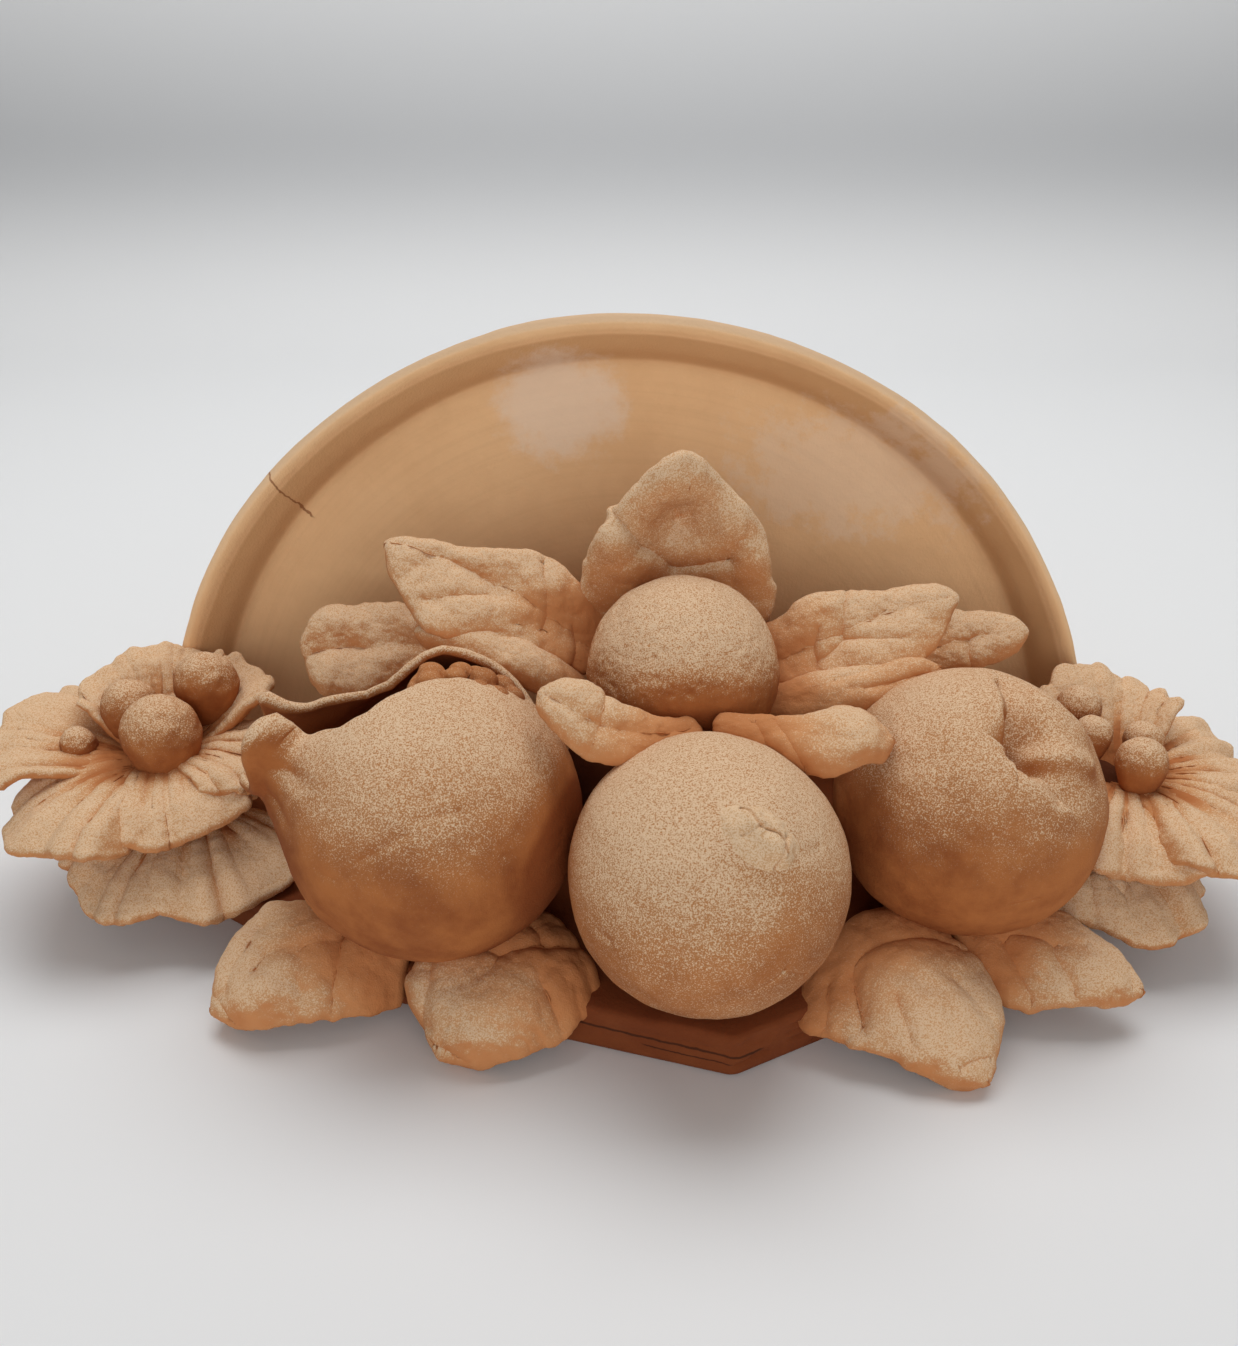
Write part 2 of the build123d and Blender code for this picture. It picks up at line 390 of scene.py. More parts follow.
def clay(
    name, dust=1.0, grain=1.0, body=BODY, deep=DEEP, skin=SKIN, pale=DUST, mottled=1.0, lying=0.0, finish=None,
):
    """Unglazed terracotta: mottled body, painted shade in hollows and where the per-point dust value is low,
    and a fine pale dust that lies on what faces up.

    dust scales the dust's cover, lying adds to it on all sides, grain is the strength of its specks and
    mottled that of the body's dark patches. finish may paint over the colour at the end.
    """
    material, n = new_material(name)
    place = n.add("ShaderNodeTexCoord").outputs["Object"]
    geometry = n.add("ShaderNodeNewGeometry")
    facing = n.add("ShaderNodeSeparateXYZ", {0: geometry.outputs["Normal"]}).outputs[2]
    amount = n.add("ShaderNodeAttribute", attribute_name="dust_and_shade").outputs["Fac"]

    mottle = n.noise(place, 48, 5, 0.6)
    cloud = n.noise(place, 26, 4, 0.6, 0.4)
    speck = n.noise(place, 1 / SPECK_SIZE, 2, 0.6)
    coarse = n.noise(place, 0.42 / SPECK_SIZE, 3, 0.65)
    edge = n.span(geometry.outputs["Pointiness"], 0.48, 0.58)
    # painted shade: hollows found by pointiness get the deep colour and less dust
    hollow_shade = n.span(geometry.outputs["Pointiness"], 0.41, 0.492, 1.0, 0.0)

    raised = n.span(facing, -0.10, 1.0)
    patch = n.span(cloud, 0.30, 0.70)
    cover = n.plus(n.times(raised, 0.95), n.times(patch, 0.26))
    cover = n.plus(cover, n.times(edge, 0.25))
    cover = n.math("SUBTRACT", n.plus(cover, lying), n.times(hollow_shade, 0.35))
    cover = n.times(cover, n.plus(n.times(amount, 1.1), 0.08))
    cover = n.times(cover, dust, True)

    colour = n.blend(n.times(n.span(mottle, 0.33, 0.70), mottled), body, deep)
    colour = n.blend(n.times(hollow_shade, 0.5), colour, deep)
    # painted shade: the deep colour where the per-point dust value is low
    colour = n.blend(n.span(amount, 0.0, 0.30, 0.9, 0.0), colour, deep)
    colour = n.blend(n.span(cover, 0.05, 0.85), colour, skin)
    laid = n.plus(n.plus(speck, n.times(coarse, 0.30)), n.times(cover, 0.26))
    grains = n.span(laid, 0.77, 0.95)
    dusting = n.times(n.times(grains, n.span(cover, 0.05, 0.55)), 0.82 * grain, True)
    colour = n.blend(dusting, colour, pale)
    if finish:
        colour = finish(n, place, colour)

    height = n.plus(n.times(speck, 0.45 * grain), n.times(coarse, 0.6))
    height = n.plus(height, n.times(n.noise(place, 210, 5, 0.6), 0.9))
    bump = n.add("ShaderNodeBump", {"Strength": 0.6, "Distance": 0.0005, "Height": height})
    rough = n.span(speck, 0.3, 0.7, 0.86, 0.97)
    shader = n.add(
        "ShaderNodeBsdfPrincipled",
        {"Base Color": colour, "Roughness": rough, "Normal": bump.outputs[0], "Specular IOR Level": 0.2},
    )
    n.add("ShaderNodeOutputMaterial", {0: shader.outputs[0]})
    return material


def flat_mask(n, place, centre, radii, ragged):
    """1 inside a soft ragged ellipse on the dish's face, 0 outside. Sizes in metres."""
    off = n.vector("SUBTRACT", place, centre)
    share = (1 / radii[0], 0.0, 1 / radii[1])
    scaled = n.vector("MULTIPLY", off, share)
    reach = n.length(scaled)
    torn = n.times(n.math("SUBTRACT", n.noise(place, 120, 6, 0.7), 0.5), ragged)
    return n.span(n.plus(reach, torn), 0.55, 1.15, 1.0, 0.0)


def line_mask(n, place, start, end, width, waver):
    """1 on a thin wandering line between two points (metres), seen from the front."""
    start, end = Vector(start), Vector(end)
    way = (end - start).normalized()
    off = n.vector("SUBTRACT", place, start)
    off = n.vector("MULTIPLY", off, (1.0, 0.0, 1.0))
    along = n.add("ShaderNodeVectorMath", {0: off, 1: way}, operation="DOT_PRODUCT").outputs["Value"]
    square = (-way.z, 0.0, way.x)
    across = n.add("ShaderNodeVectorMath", {0: off, 1: square}, operation="DOT_PRODUCT").outputs["Value"]
    wander = n.math("SUBTRACT", n.noise(place, 160, 3, 0.6), 0.5)
    across = n.plus(across, n.times(wander, waver))
    near_line = n.span(n.math("ABSOLUTE", across), width * 0.4, width, 1.0, 0.0)
    length = (end - start).length
    inside = n.times(n.span(along, 0.0, 0.002), n.span(along, length - 0.002, length, 1.0, 0.0))
    return n.times(near_line, inside)


def dish_marks_and_top_shade(n, place, colour):
    """Fine throwing lines round the dish, two pale salt blooms near the top, painted shade on what faces up
    such as the lip's top, and a hairline crack.
    """
    low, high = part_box("back_dish")
    middle = Vector(((low.x + high.x) / 2, 0.0, low.z))
    span = (high.x - low.x) / 2
    off = n.vector("SUBTRACT", place, middle)
    flat = n.vector("MULTIPLY", off, (1.0, 0.0, 1.0))
    reach = n.length(flat)
    ring = n.add("ShaderNodeCombineXYZ", {0: n.times(reach, 520.0)}).outputs[0]
    slow = n.vector("MULTIPLY", place, (12.0, 12.0, 12.0))
    where = n.vector("ADD", ring, slow)
    lines = n.span(n.noise(where, 1.0, 4, 0.7), 0.42, 0.72)
    colour = n.blend(n.times(lines, 0.16), colour, DISH_LINE)
    left = flat_mask(n, place, middle + Vector((-0.14, 0, 0.80)) * span, (0.021, 0.019), 1.3)
    right = flat_mask(n, place, middle + Vector((0.47, 0, 0.66)) * span, (0.042, 0.021), 2.6)
    facing = n.add("ShaderNodeSeparateXYZ", {0: n.add("ShaderNodeNewGeometry").outputs["Normal"]})
    inner = n.span(facing.outputs[1], -0.3, 0.1, 1.0, 0.0)
    colour = n.blend(n.times(n.times(left, 0.50), inner), colour, DISH_BLOOM)
    colour = n.blend(n.times(n.times(right, 0.28), inner), colour, DISH_BLOOM)
    # painted shade: surfaces facing up, such as the lip's top, are coloured darker
    colour = n.blend(n.span(facing.outputs[2], 0.25, 0.95, 0.0, 0.75), colour, DISH_TOP_SHADE)
    crack_top = middle + Vector((-0.74, 0, 0.70)) * span
    crack_foot = middle + Vector((-0.66, 0, 0.56)) * span
    crack = line_mask(n, place, crack_top, crack_foot, 0.0005, 0.004)
    return n.blend(n.times(crack, 0.75), colour, DEEP)


def slab_slit_shade(n, place, colour):
    """Thin slits where the layers of the slab did not close, painted as near-black lines of shade."""
    for start, end, width in SLAB_SLITS:
        slit = line_mask(n, place, start, end, width, SLIT_WAVER)
        # painted shade inside the slit
        colour = n.blend(n.times(slit, 0.85), colour, SLIT_SHADE)
    return colour


RAISED_CLAY = {"body": (0.60, 0.25, 0.09, 1), "deep": (0.46, 0.155, 0.048, 1), "skin": (0.62, 0.33, 0.15, 1)}

# painted shade: the slab's clay is coloured far darker than the other clay
clay_slab_shaded = clay(
    "ClaySlabShaded", dust=0.0, finish=slab_slit_shade, grain=0.25, body=(0.22, 0.058, 0.017, 1),
    deep=(0.18, 0.042, 0.012, 1),
)
clay_dish = clay(
    "ClayDish", dust=0.6, grain=0.3, body=(0.94, 0.59, 0.31, 1), deep=(0.70, 0.39, 0.18, 1), mottled=0.25,
    skin=(0.94, 0.64, 0.38, 1), pale=(0.93, 0.70, 0.50, 1), finish=dish_marks_and_top_shade,
)
clay_fruit = clay("ClayFruit", dust=0.82, lying=0.03)
clay_front = clay("ClayFrontFruit", dust=0.90, lying=0.26)
clay_orange = clay("ClayOrange", dust=1.25)
clay_leaf = clay(
    "ClayLeaf", body=(0.63, 0.27, 0.105, 1), deep=(0.48, 0.165, 0.052, 1), skin=(0.63, 0.335, 0.155, 1),
    mottled=0.7, dust=0.85, grain=0.9,
)
clay_back_leaf = clay("ClayBackLeaf", lying=0.28, **RAISED_CLAY)
clay_petal = clay("ClayPetal", grain=0.9, **RAISED_CLAY)
clay_pale = clay("ClayPale", body=(0.50, 0.24, 0.10, 1), skin=(0.62, 0.36, 0.18, 1), lying=0.5)
# painted shade: near-black clay for the lumps in the gaps between the fruits and under the flower berries
clay_core_shade = clay("ClayCoreShade", dust=0.05, grain=0.4, body=(0.13, 0.034, 0.010, 1), deep=(0.10, 0.024, 0.007, 1))
clay_seed = clay("ClaySeed", dust=0.5, grain=0.6)


# ---------------------------------------------------------------- slab


def rounded_outline(corners, radius, step):
    """Points along a polygon whose corners are rounded, at about step mm."""
    corners = np.asarray(corners, float)
    points = []
    for k in range(len(corners)):
        corner = corners[k]
        before = unit(corners[k - 1] - corner)
        after = unit(corners[(k + 1) % len(corners)] - corner)
        start, end = corner + before * radius, corner + after * radius
        for t in np.linspace(0, 1, 6):
            points.append(start * (1 - t) ** 2 + corner * 2 * t * (1 - t) + end * t**2)
        far = corners[(k + 1) % len(corners)] - after * radius
        count = max(2, int(np.linalg.norm(far - end) / step))
        for t in np.linspace(0, 1, count + 1)[1:-1]:
            points.append(end + (far - end) * t)
    return np.array(points)


def make_slab():
    """Hand-cut eight-sided slab: soft corners, a layer line below its top edge and small tears."""
    low, high = corners_of("base_slab")
    width, depth, thick = high - low
    share = [
        (0.582, 0.0), (0.247, 0.190), (0.0, 0.516), (0.017, 0.908),
        (0.387, 1.0), (0.812, 0.987), (1.0, 0.712), (0.889, 0.307),
    ]
    corners = [(low[0] + x * width, low[1] + y * depth) for x, y in share]
    outline = rounded_outline(corners, 2.2, 1.2)
    middle = outline.mean(0)
    count = len(outline)
    edge = 1.6
    rows = [(20, 0), (6, 0), (edge, 0), (edge * 0.3, edge * 0.3)]
    rows += [(0.0, z) for z in np.linspace(edge, thick - edge, 18)]
    rows += [(edge * 0.3, thick - edge * 0.3), (edge, thick), (6, thick), (20, thick)]
    rings = []
    way = unit(middle - outline)
    for inward, z in rows:
        ring = outline + way * inward
        rings.append(np.column_stack([ring, np.full(count, z)]))
    for scale in (0.6, 0.3, 0.02):
        rings.append(np.column_stack([middle + (outline - middle) * scale, np.full(count, thick)]))
        rings.insert(0, np.column_stack([middle + (outline - middle) * scale, np.zeros(count)]))
    points = np.vstack(rings)
    quads = turned_out(points, grid_quads(len(rings), count, closed=True))
    side = unit(np.column_stack([points[:, :2] - middle, np.zeros(len(points))]))
    on_side = ((points[:, 2] > 0.5) & (points[:, 2] < thick - 0.4)).astype(float)
    seam = thick * 0.66 + 0.5 * value_noise(points / 25, 3)
    broken = smooth_step(value_noise(points / 40, 9), -0.5, 0.1)
    groove = -0.5 * bell(points[:, 2] - seam, 0.55) * broken
    tears = -0.9 * smooth_step(value_noise(points * [0.12, 0.12, 0.9], 31), 0.45, 0.75)
    tears = tears * (points[:, 0] > corners[0][0])
    uneven = 0.5 * lumps(points, 14, 5) + 0.12 * lumps(points, 3, 8)
    points = points + side * ((groove + tears + uneven) * on_side)[:, None]
    points[:, 2] = np.maximum(points[:, 2], 0)
    return piece("SlabClay", points, quads, "base_slab", clay_slab_shaded)


# ---------------------------------------------------------------- dish


def make_dish():
    """Thrown half dish: flat disc, hollow cove, rolled lip, and a slightly uneven rim."""
    low, high = corners_of("back_dish")
    radius = (high[0] - low[0]) / 2
    foot = np.array([(low[0] + high[0]) / 2, low[1], low[2]])
    lean = math.radians(7.0)
    depth, floor, lip, cove = 14.0, 8.0, 5.0, 11.0
    disc = radius - lip - cove
    front = [(r, depth) for r in np.linspace(0, disc - 5, 60)]
    cove_at = [(disc - 5, depth), (disc + 1, depth - 1.6), (disc + 5.5, depth - 7.5), (radius - lip - 1, 2.2)]
    cove_at += [(radius - lip + 1.0, 0.4), (radius - 2.2, 0.1), (radius - 0.6, 1.6), (radius, 4.0)]
    t = np.linspace(0, 1, 60)
    curve = np.column_stack([through([c[0] for c in cove_at], t), through([c[1] for c in cove_at], t)])
    front = np.vstack([front, curve[1:]])
    back_at = [(radius, 4.0), (radius - 0.6, 8.0), (radius - 4, 14), (radius - 10, 20), (radius - 17, 22)]
    curve = np.column_stack([through([c[0] for c in back_at], t), through([c[1] for c in back_at], t)])
    back = np.vstack([curve[1:], [(r, depth + floor) for r in np.linspace(radius - 17, 0, 60)[1:]]])
    profile = np.vstack([front, back])
    turns = np.linspace(0, math.pi, 361)
    wobble = 1 + 0.0022 * np.sin(3 * turns + 0.6) + 0.0016 * np.sin(7 * turns + 2.0)
    r = profile[:, 0][:, None] * (1 + (wobble - 1)[None, :] * (profile[:, 0] / radius)[:, None] ** 2)
    y = profile[:, 1][:, None] + 0.25 * np.sin(5 * turns)[None, :] * (profile[:, 0] / radius)[:, None]
    local = np.stack([r * np.cos(turns), y, r * np.sin(turns)], -1)
    rows, cols = local.shape[:2]
    points = local.reshape(-1, 3)
    quads = grid_quads(rows, cols)
    half = len(front)
    cap = []
    for k in range(half - 1):
        a, b = k, k + 1
        c, d = rows - 1 - b, rows - 1 - a
        cap.append((a * cols, b * cols, c * cols, d * cols))
        cap.append((a * cols + cols - 1, d * cols + cols - 1, c * cols + cols - 1, b * cols + cols - 1))
    quads = np.vstack([quads, cap])
    points = roughened(points, quads, (40, 0.35, 21), (9, 0.10, 22))
    y, z = points[:, 1].copy(), points[:, 2].copy()
    points[:, 1] = y * math.cos(lean) + z * math.sin(lean)
    points[:, 2] = z * math.cos(lean) - y * math.sin(lean)
    points = points + foot
    points[:, 2] = np.maximum(points[:, 2], low[2])
    reach = profile[:, 0] / radius
    # painted shade: the cove gets no dust and the deep colour; the lip gets extra dust
    cove_shade = smooth_step(reach, 0.885, 0.915) * (1 - smooth_step(reach, 0.955, 0.975))
    cove_shade[len(front):] = 0
    dust_and_shade = np.repeat(0.75 - 0.75 * cove_shade + 0.25 * smooth_step(reach, 0.97, 0.985), cols)
    return piece("DishClay", points, turned_out(points, quads), "back_dish", clay_dish, dust_and_shade)


# ---------------------------------------------------------------- fruits


def crease(points, start, end, depth, left, right=None):
    """A groove from start to end, its left and right walls falling off over their own widths (mm)."""
    start, end = np.asarray(start, float), np.asarray(end, float)
    way = end - start
    t = np.clip(((points - start) @ way) / (way @ way), 0, 1)
    off = points - start - t[:, None] * way
    rightward = np.cross(way, unit((start + end) / 2))
    width = np.where(off @ rightward > 0, right or left, left)
    return -depth * bell(np.linalg.norm(off, axis=1), width)


def make_ball(name, node, material, steps, shape, contact_shade=1.0, underside_shade=0.5, drop=0.0):
    """A round piece: shape(directions, radius) gives the distance from the centre in mm.

    drop draws the underside out into a stalk. The other two weights take the dust off the underside and off
    where another fruit is close, and paint shade there in the deep colour.
    """
    centre = centre_of(node)
    radius = size_of(node)[1] / 2
    ways, quads = ball(steps)
    local = ways * shape(ways, radius)[:, None]
    under = np.maximum(-ways[:, 2], 0)
    local[:, 2] -= under * radius * drop
    local[:, :2] *= (1 - 0.45 * drop * under)[:, None]
    points = centre + local
    # painted shade: less dust and the deep colour on the underside and near other fruit
    dust_and_shade = 0.85 - contact_shade * fruit_contact_shade(points, node) - underside_shade * smooth_step(-ways[:, 2], -0.15, 0.75)
    return piece(name, points, turned_out(local, quads), node, material, np.clip(dust_and_shade, 0, 1))


def front_fruit_form(ways, radius):
    p = ways * radius
    arc = np.arccos(np.clip(ways @ NUB_WAY, -1, 1)) * radius
    swell = 2.2 * bell(arc, 11.0) + 0.9 * bell(arc, 20.0)
    lump = 0.50 * lumps(p, 26, 41) + 0.10 * lumps(p, 5, 44)
    fold = crease(
        p, np.array((0.50, -0.62, 0.60)) * radius, np.array((0.66, -0.50, 0.56)) * radius, 0.35, 1.9,
    )
    chip = crease(
        p, np.array((-0.74, -0.61, 0.02)) * radius, np.array((-0.68, -0.70, 0.0)) * radius, 0.6, 1.2,
    )
    flat = crease(p, np.array((0.10, -0.78, 0.60)) * radius, np.array((0.24, -0.82, 0.50)) * radius, 0.8, 5.5)
    split = np.zeros(len(ways))
    meeting = (0.45, -0.88, -0.13)
    splits = (((0.24, -0.94, -0.25), meeting), (meeting, (0.62, -0.73, -0.28)), (meeting, (0.50, -0.80, 0.22)))
    for start, end in splits:
        split = split + crease(p, np.array(start) * radius, np.array(end) * radius, 0.40, 0.6)
    return radius * 0.995 + swell + lump + fold + chip + flat + split


NUB_WAY = unit((0.27, -0.63, 0.73))
NUB_LINE = unit((0.36, -0.16, -0.29))


def make_nub():
    """The pale, pinched and cracked blossom end of the front fruit, smeared out into its skin."""
    radius = size_of("front_fruit")[1] / 2
    along = unit(NUB_LINE - NUB_WAY * (NUB_LINE @ NUB_WAY))
    across = np.cross(NUB_WAY, along)
    ways, quads = ball(64)
    ragged = 1 + 0.16 * lumps(ways * (9, 9, 0), 7, 51, 2)
    x, y = ways[:, 0] * 12.5 * ragged, ways[:, 1] * 7.2 * ragged
    towards = unit(NUB_WAY * radius + along * x[:, None] + across * y[:, None])
    dome = np.maximum(ways[:, 2], 0) ** 2
    peak = 2.4 * np.exp(-(((x - 3.0) / 3.6) ** 2 + ((y + 0.8) / 2.4) ** 2))
    peak = peak + 1.5 * np.exp(-(((x + 4.5) / 4.2) ** 2 + ((y - 0.8) / 2.2) ** 2))
    line = 1.2 * bell(y - 1.2 - 0.8 * np.sin(x * 0.7), 0.40) * (np.abs(x + 1) < 7)
    line = line + 1.0 * bell(x - 4.6 + 0.4 * y, 0.42) * (np.abs(y) < 3.6)
    line = line + 0.6 * bell(x + 2.4 - 0.5 * y, 0.36) * (np.abs(y + 1) < 2.4)
    crumbs = 0.35 * lumps(np.stack([x, y, 0 * x], -1), 2.6, 58)
    rise = -0.8 + 2.4 * dome + (peak - line + crumbs) * np.minimum(1, dome * 2)
    rise = np.where(ways[:, 2] > 0, rise, -1.0 + 1.2 * ways[:, 2])
    points = towards * (front_fruit_form(towards, radius) + rise)[:, None] + centre_of("front_fruit")
    quads = turned_out(points - points.mean(0), quads)
    return piece("FrontFruitNub", points, quads, "front_fruit_nub", clay_pale, 1.0)


def apple_form(ways, radius):
    p = ways * radius
    at = [
        np.array(c) * radius
        for c in (
            (0.15, 0.06, 0.99), (0.13, -0.31, 0.94), (0.11, -0.54, 0.84), (0.27, -0.45, 0.85),
            (0.10, -0.60, 0.79), (0.25, -0.67, 0.69), (0.42, -0.75, 0.52), (0.30, -0.57, 0.77),
            (0.66, -0.45, 0.60),
        )
    ]
    form = radius + 0.6 * lumps(p, 24, 61) + 0.10 * lumps(p, 5, 62)
    form = form + crease(p, at[0], at[1], 2.8, 6.5, 1.4) + crease(p, at[1], at[2], 4.6, 7.0, 1.3)
    form = form + crease(p, at[3], at[2] * 0.6 + at[3] * 0.4, 4.6, 5.4)
    form = form + crease(p, at[4], at[5], 5.0, 5.5, 1.8) + crease(p, at[5], at[6], 2.2, 5.5, 2.4)
    form = form - crease(p, at[7], at[8], 2.0, 3.4)
    form = form - crease(
        p, np.array((0.45, -0.12, 0.89)) * radius, np.array((0.62, -0.20, 0.76)) * radius, 1.8, 6.0,
    )
    split = crease(
        p, np.array((0.10, -0.98, -0.22)) * radius, np.array((0.32, -0.93, -0.20)) * radius, 0.5, 0.6,
    )
    return form + split


def orange_form(ways, radius):
    p = ways * radius
    rng = np.random.default_rng(7)
    form = radius + 0.45 * lumps(p, 16, 71) + 0.12 * lumps(p, 3.2, 72)
    for way in unit(rng.normal(size=(230, 3))):
        gap2 = ((p - way * radius) ** 2).sum(1)
        form = form - 0.20 * np.exp(-gap2 / 0.9**2)
    return form


def berry_form(ways, radius):
    p = ways * radius
    longer = 1 + 0.07 * (ways @ unit((-0.5, 0.2, 0.8))) ** 2
    return radius * 0.98 * longer + 0.45 * lumps(p, 9, 81) + 0.14 * lumps(p, 3, 82)


make_slab()
make_dish()
make_ball(
    "FrontFruit", "front_fruit", clay_front, 150, front_fruit_form, contact_shade=0.7,
    underside_shade=0.05,
)
make_nub()
make_ball("DimpledFruit", "apple", clay_fruit, 150, apple_form)
make_ball("Orange", "orange", clay_orange, 130, orange_form)


def make_lump(name, node, seed):
    """A pressed lump of clay that fills its CAD node's box and stands flat on its underside; its clay is
    near-black painted shade.
    """
    centre, half = centre_of(node), size_of(node) / 2
    ways, quads = ball(40)
    boxiness = 0.85
    points = np.sign(ways) * np.abs(ways) ** boxiness * half
    points = points * (1 + 0.05 * lumps(ways * 20, 16, seed))[:, None]
    points[:, 2] = np.maximum(points[:, 2], -half[2])
    return piece(name, centre + points, turned_out(points, quads), node, clay_core_shade)


# ---------------------------------------------------------------- leaves


def bezier(base, middle, tip, t):
    """Curve through middle at t = 0.5, and its direction."""
    base, middle, tip = (np.asarray(p, float) for p in (base, middle, tip))
    pull = 2 * middle - (base + tip) / 2
    t = np.asarray(t)[:, None]
    place = base * (1 - t) ** 2 + pull * 2 * t * (1 - t) + tip * t**2
    way = unit((pull - base) * (1 - t) + (tip - pull) * t)
    return place, way


MARK_REACH = 18.0
ROUND_FROM = 0.93


def leaf(
    name, node, spine, up, back, front, cup=0.1, thick=5.6, lobes=2, notch=0.0, puff=0.8, vein=0.0,
    droop=3.0, marks=(), swells=(), seed=1, material=clay_leaf, rows=100, cols=76, slant=0.25, midrib=0.3,
    shade_to_dust_from=0.30,
):
    """A pressed clay leaf on a curved midrib.

    spine holds base, middle and tip as offsets in mm from the middle of the node's box. back and front are
    half-widths in mm from base to tip on the two sides. marks are scored lines (t, s, t, s, depth, width)
    and swells are pinched bulges (t, s, height, radius), with t from 0 at the base to 1 at the tip and s
    across it in units of MARK_REACH.
    """
    base, middle, tip = (near(node, p) for p in spine)
    t, s = np.linspace(0, 1, rows), np.linspace(-1, 1, cols)
    place, way = bezier(base, middle, tip, t)
    side = unit(np.cross(way, np.asarray(up, float)))
    normal = np.cross(side, way)
    length = np.linalg.norm(np.diff(place, axis=0), axis=1).sum()
    end = np.sqrt(1 - (np.clip((t - ROUND_FROM) / (1 - ROUND_FROM), 0, 0.985)) ** 2)
    tt, ss = np.meshgrid(t, s, indexing="ij")
    scallop = 0.5 - 0.5 * np.cos(2 * math.pi * (lobes * tt + 0.35 + 0.15 * np.sign(ss)))
    ragged = 0.035 * flat_noise(tt * 14, np.sign(ss) * 3, seed + 5)
    width = np.where(ss > 0, through(back, tt), through(front, tt)) * end[:, None]
    width = width * (1 - notch * scallop * smooth_step(tt, 0.05, 0.3) + ragged)
    reach = ss * width
    line = lobes * (tt - slant * np.abs(ss) * 0.6) + 0.35 + 0.15 * np.sign(ss)
    gap = np.abs(line - np.round(line)) / lobes * length
    away = smooth_step(np.abs(reach), 0.8, 5.0)
    height = cup * np.abs(reach) - midrib * bell(reach, 1.9)
    height = height + puff * (0.5 - 0.5 * np.cos(2 * math.pi * line)) * away * (1 - 0.3 * np.abs(ss))
    height = height - vein * bell(gap, 1.5) * away
    height = height - droop * (np.abs(ss) ** 4 + smooth_step(tt, 0.80, 1.05))
    for t0, s0, t1, s1, depth, broad in marks:
        flat = np.stack([tt * length, reach], -1)
        start = np.array([t0 * length, s0 * MARK_REACH])
        run = np.array([t1 * length, s1 * MARK_REACH]) - start
        share = np.clip(((flat - start) @ run) / (run @ run), 0, 1)
        off = np.linalg.norm(flat - start - share[..., None] * run, axis=-1)
        height = height - depth * bell(off, broad)
    for t0, s0, rise, broad in swells:
        off2 = ((tt - t0) * length) ** 2 + (reach - s0 * MARK_REACH) ** 2
        height = height + rise * np.exp(-off2 / broad**2)
    forward = slant * np.abs(reach) * (1 - tt)
    sheet = place[:, None] + side[:, None] * reach[..., None] + way[:, None] * forward[..., None]
    height = height + 1.0 * lumps(sheet, 17, seed) + 0.25 * lumps(sheet, 5, seed + 3)
    sheet = sheet + normal[:, None] * height[..., None]
    body = thick * (1 - 0.20 * np.abs(ss) ** 3) * (1 - 0.15 * tt)
    points, quads = thicken(sheet, body)
    # painted shade and dust: the deep colour towards the base, dust towards the tip and edges, and painted
    # shade near the fruits
    shade_to_dust = tt + 0.18 * np.abs(ss) + 0.12 * value_noise(sheet / 9, seed + 8)
    dust_and_shade = spread_to_rim(smooth_step(shade_to_dust, shade_to_dust_from, shade_to_dust_from + 0.55))
    quads = turned_out(points, quads)
    dust_and_shade = dust_and_shade * (1 - 0.75 * fruit_contact_shade(points)) + 0.14
    points = roughened(points, quads, (7, 0.30, seed + 11), (2.4, 0.16, seed + 12), (1.1, 0.07, seed + 15))
    return piece(name, points, quads, node, material, dust_and_shade)


# ---------------------------------------------------------------- flowers


PETAL_RIBS = 5
PETAL_THICK = 3.6


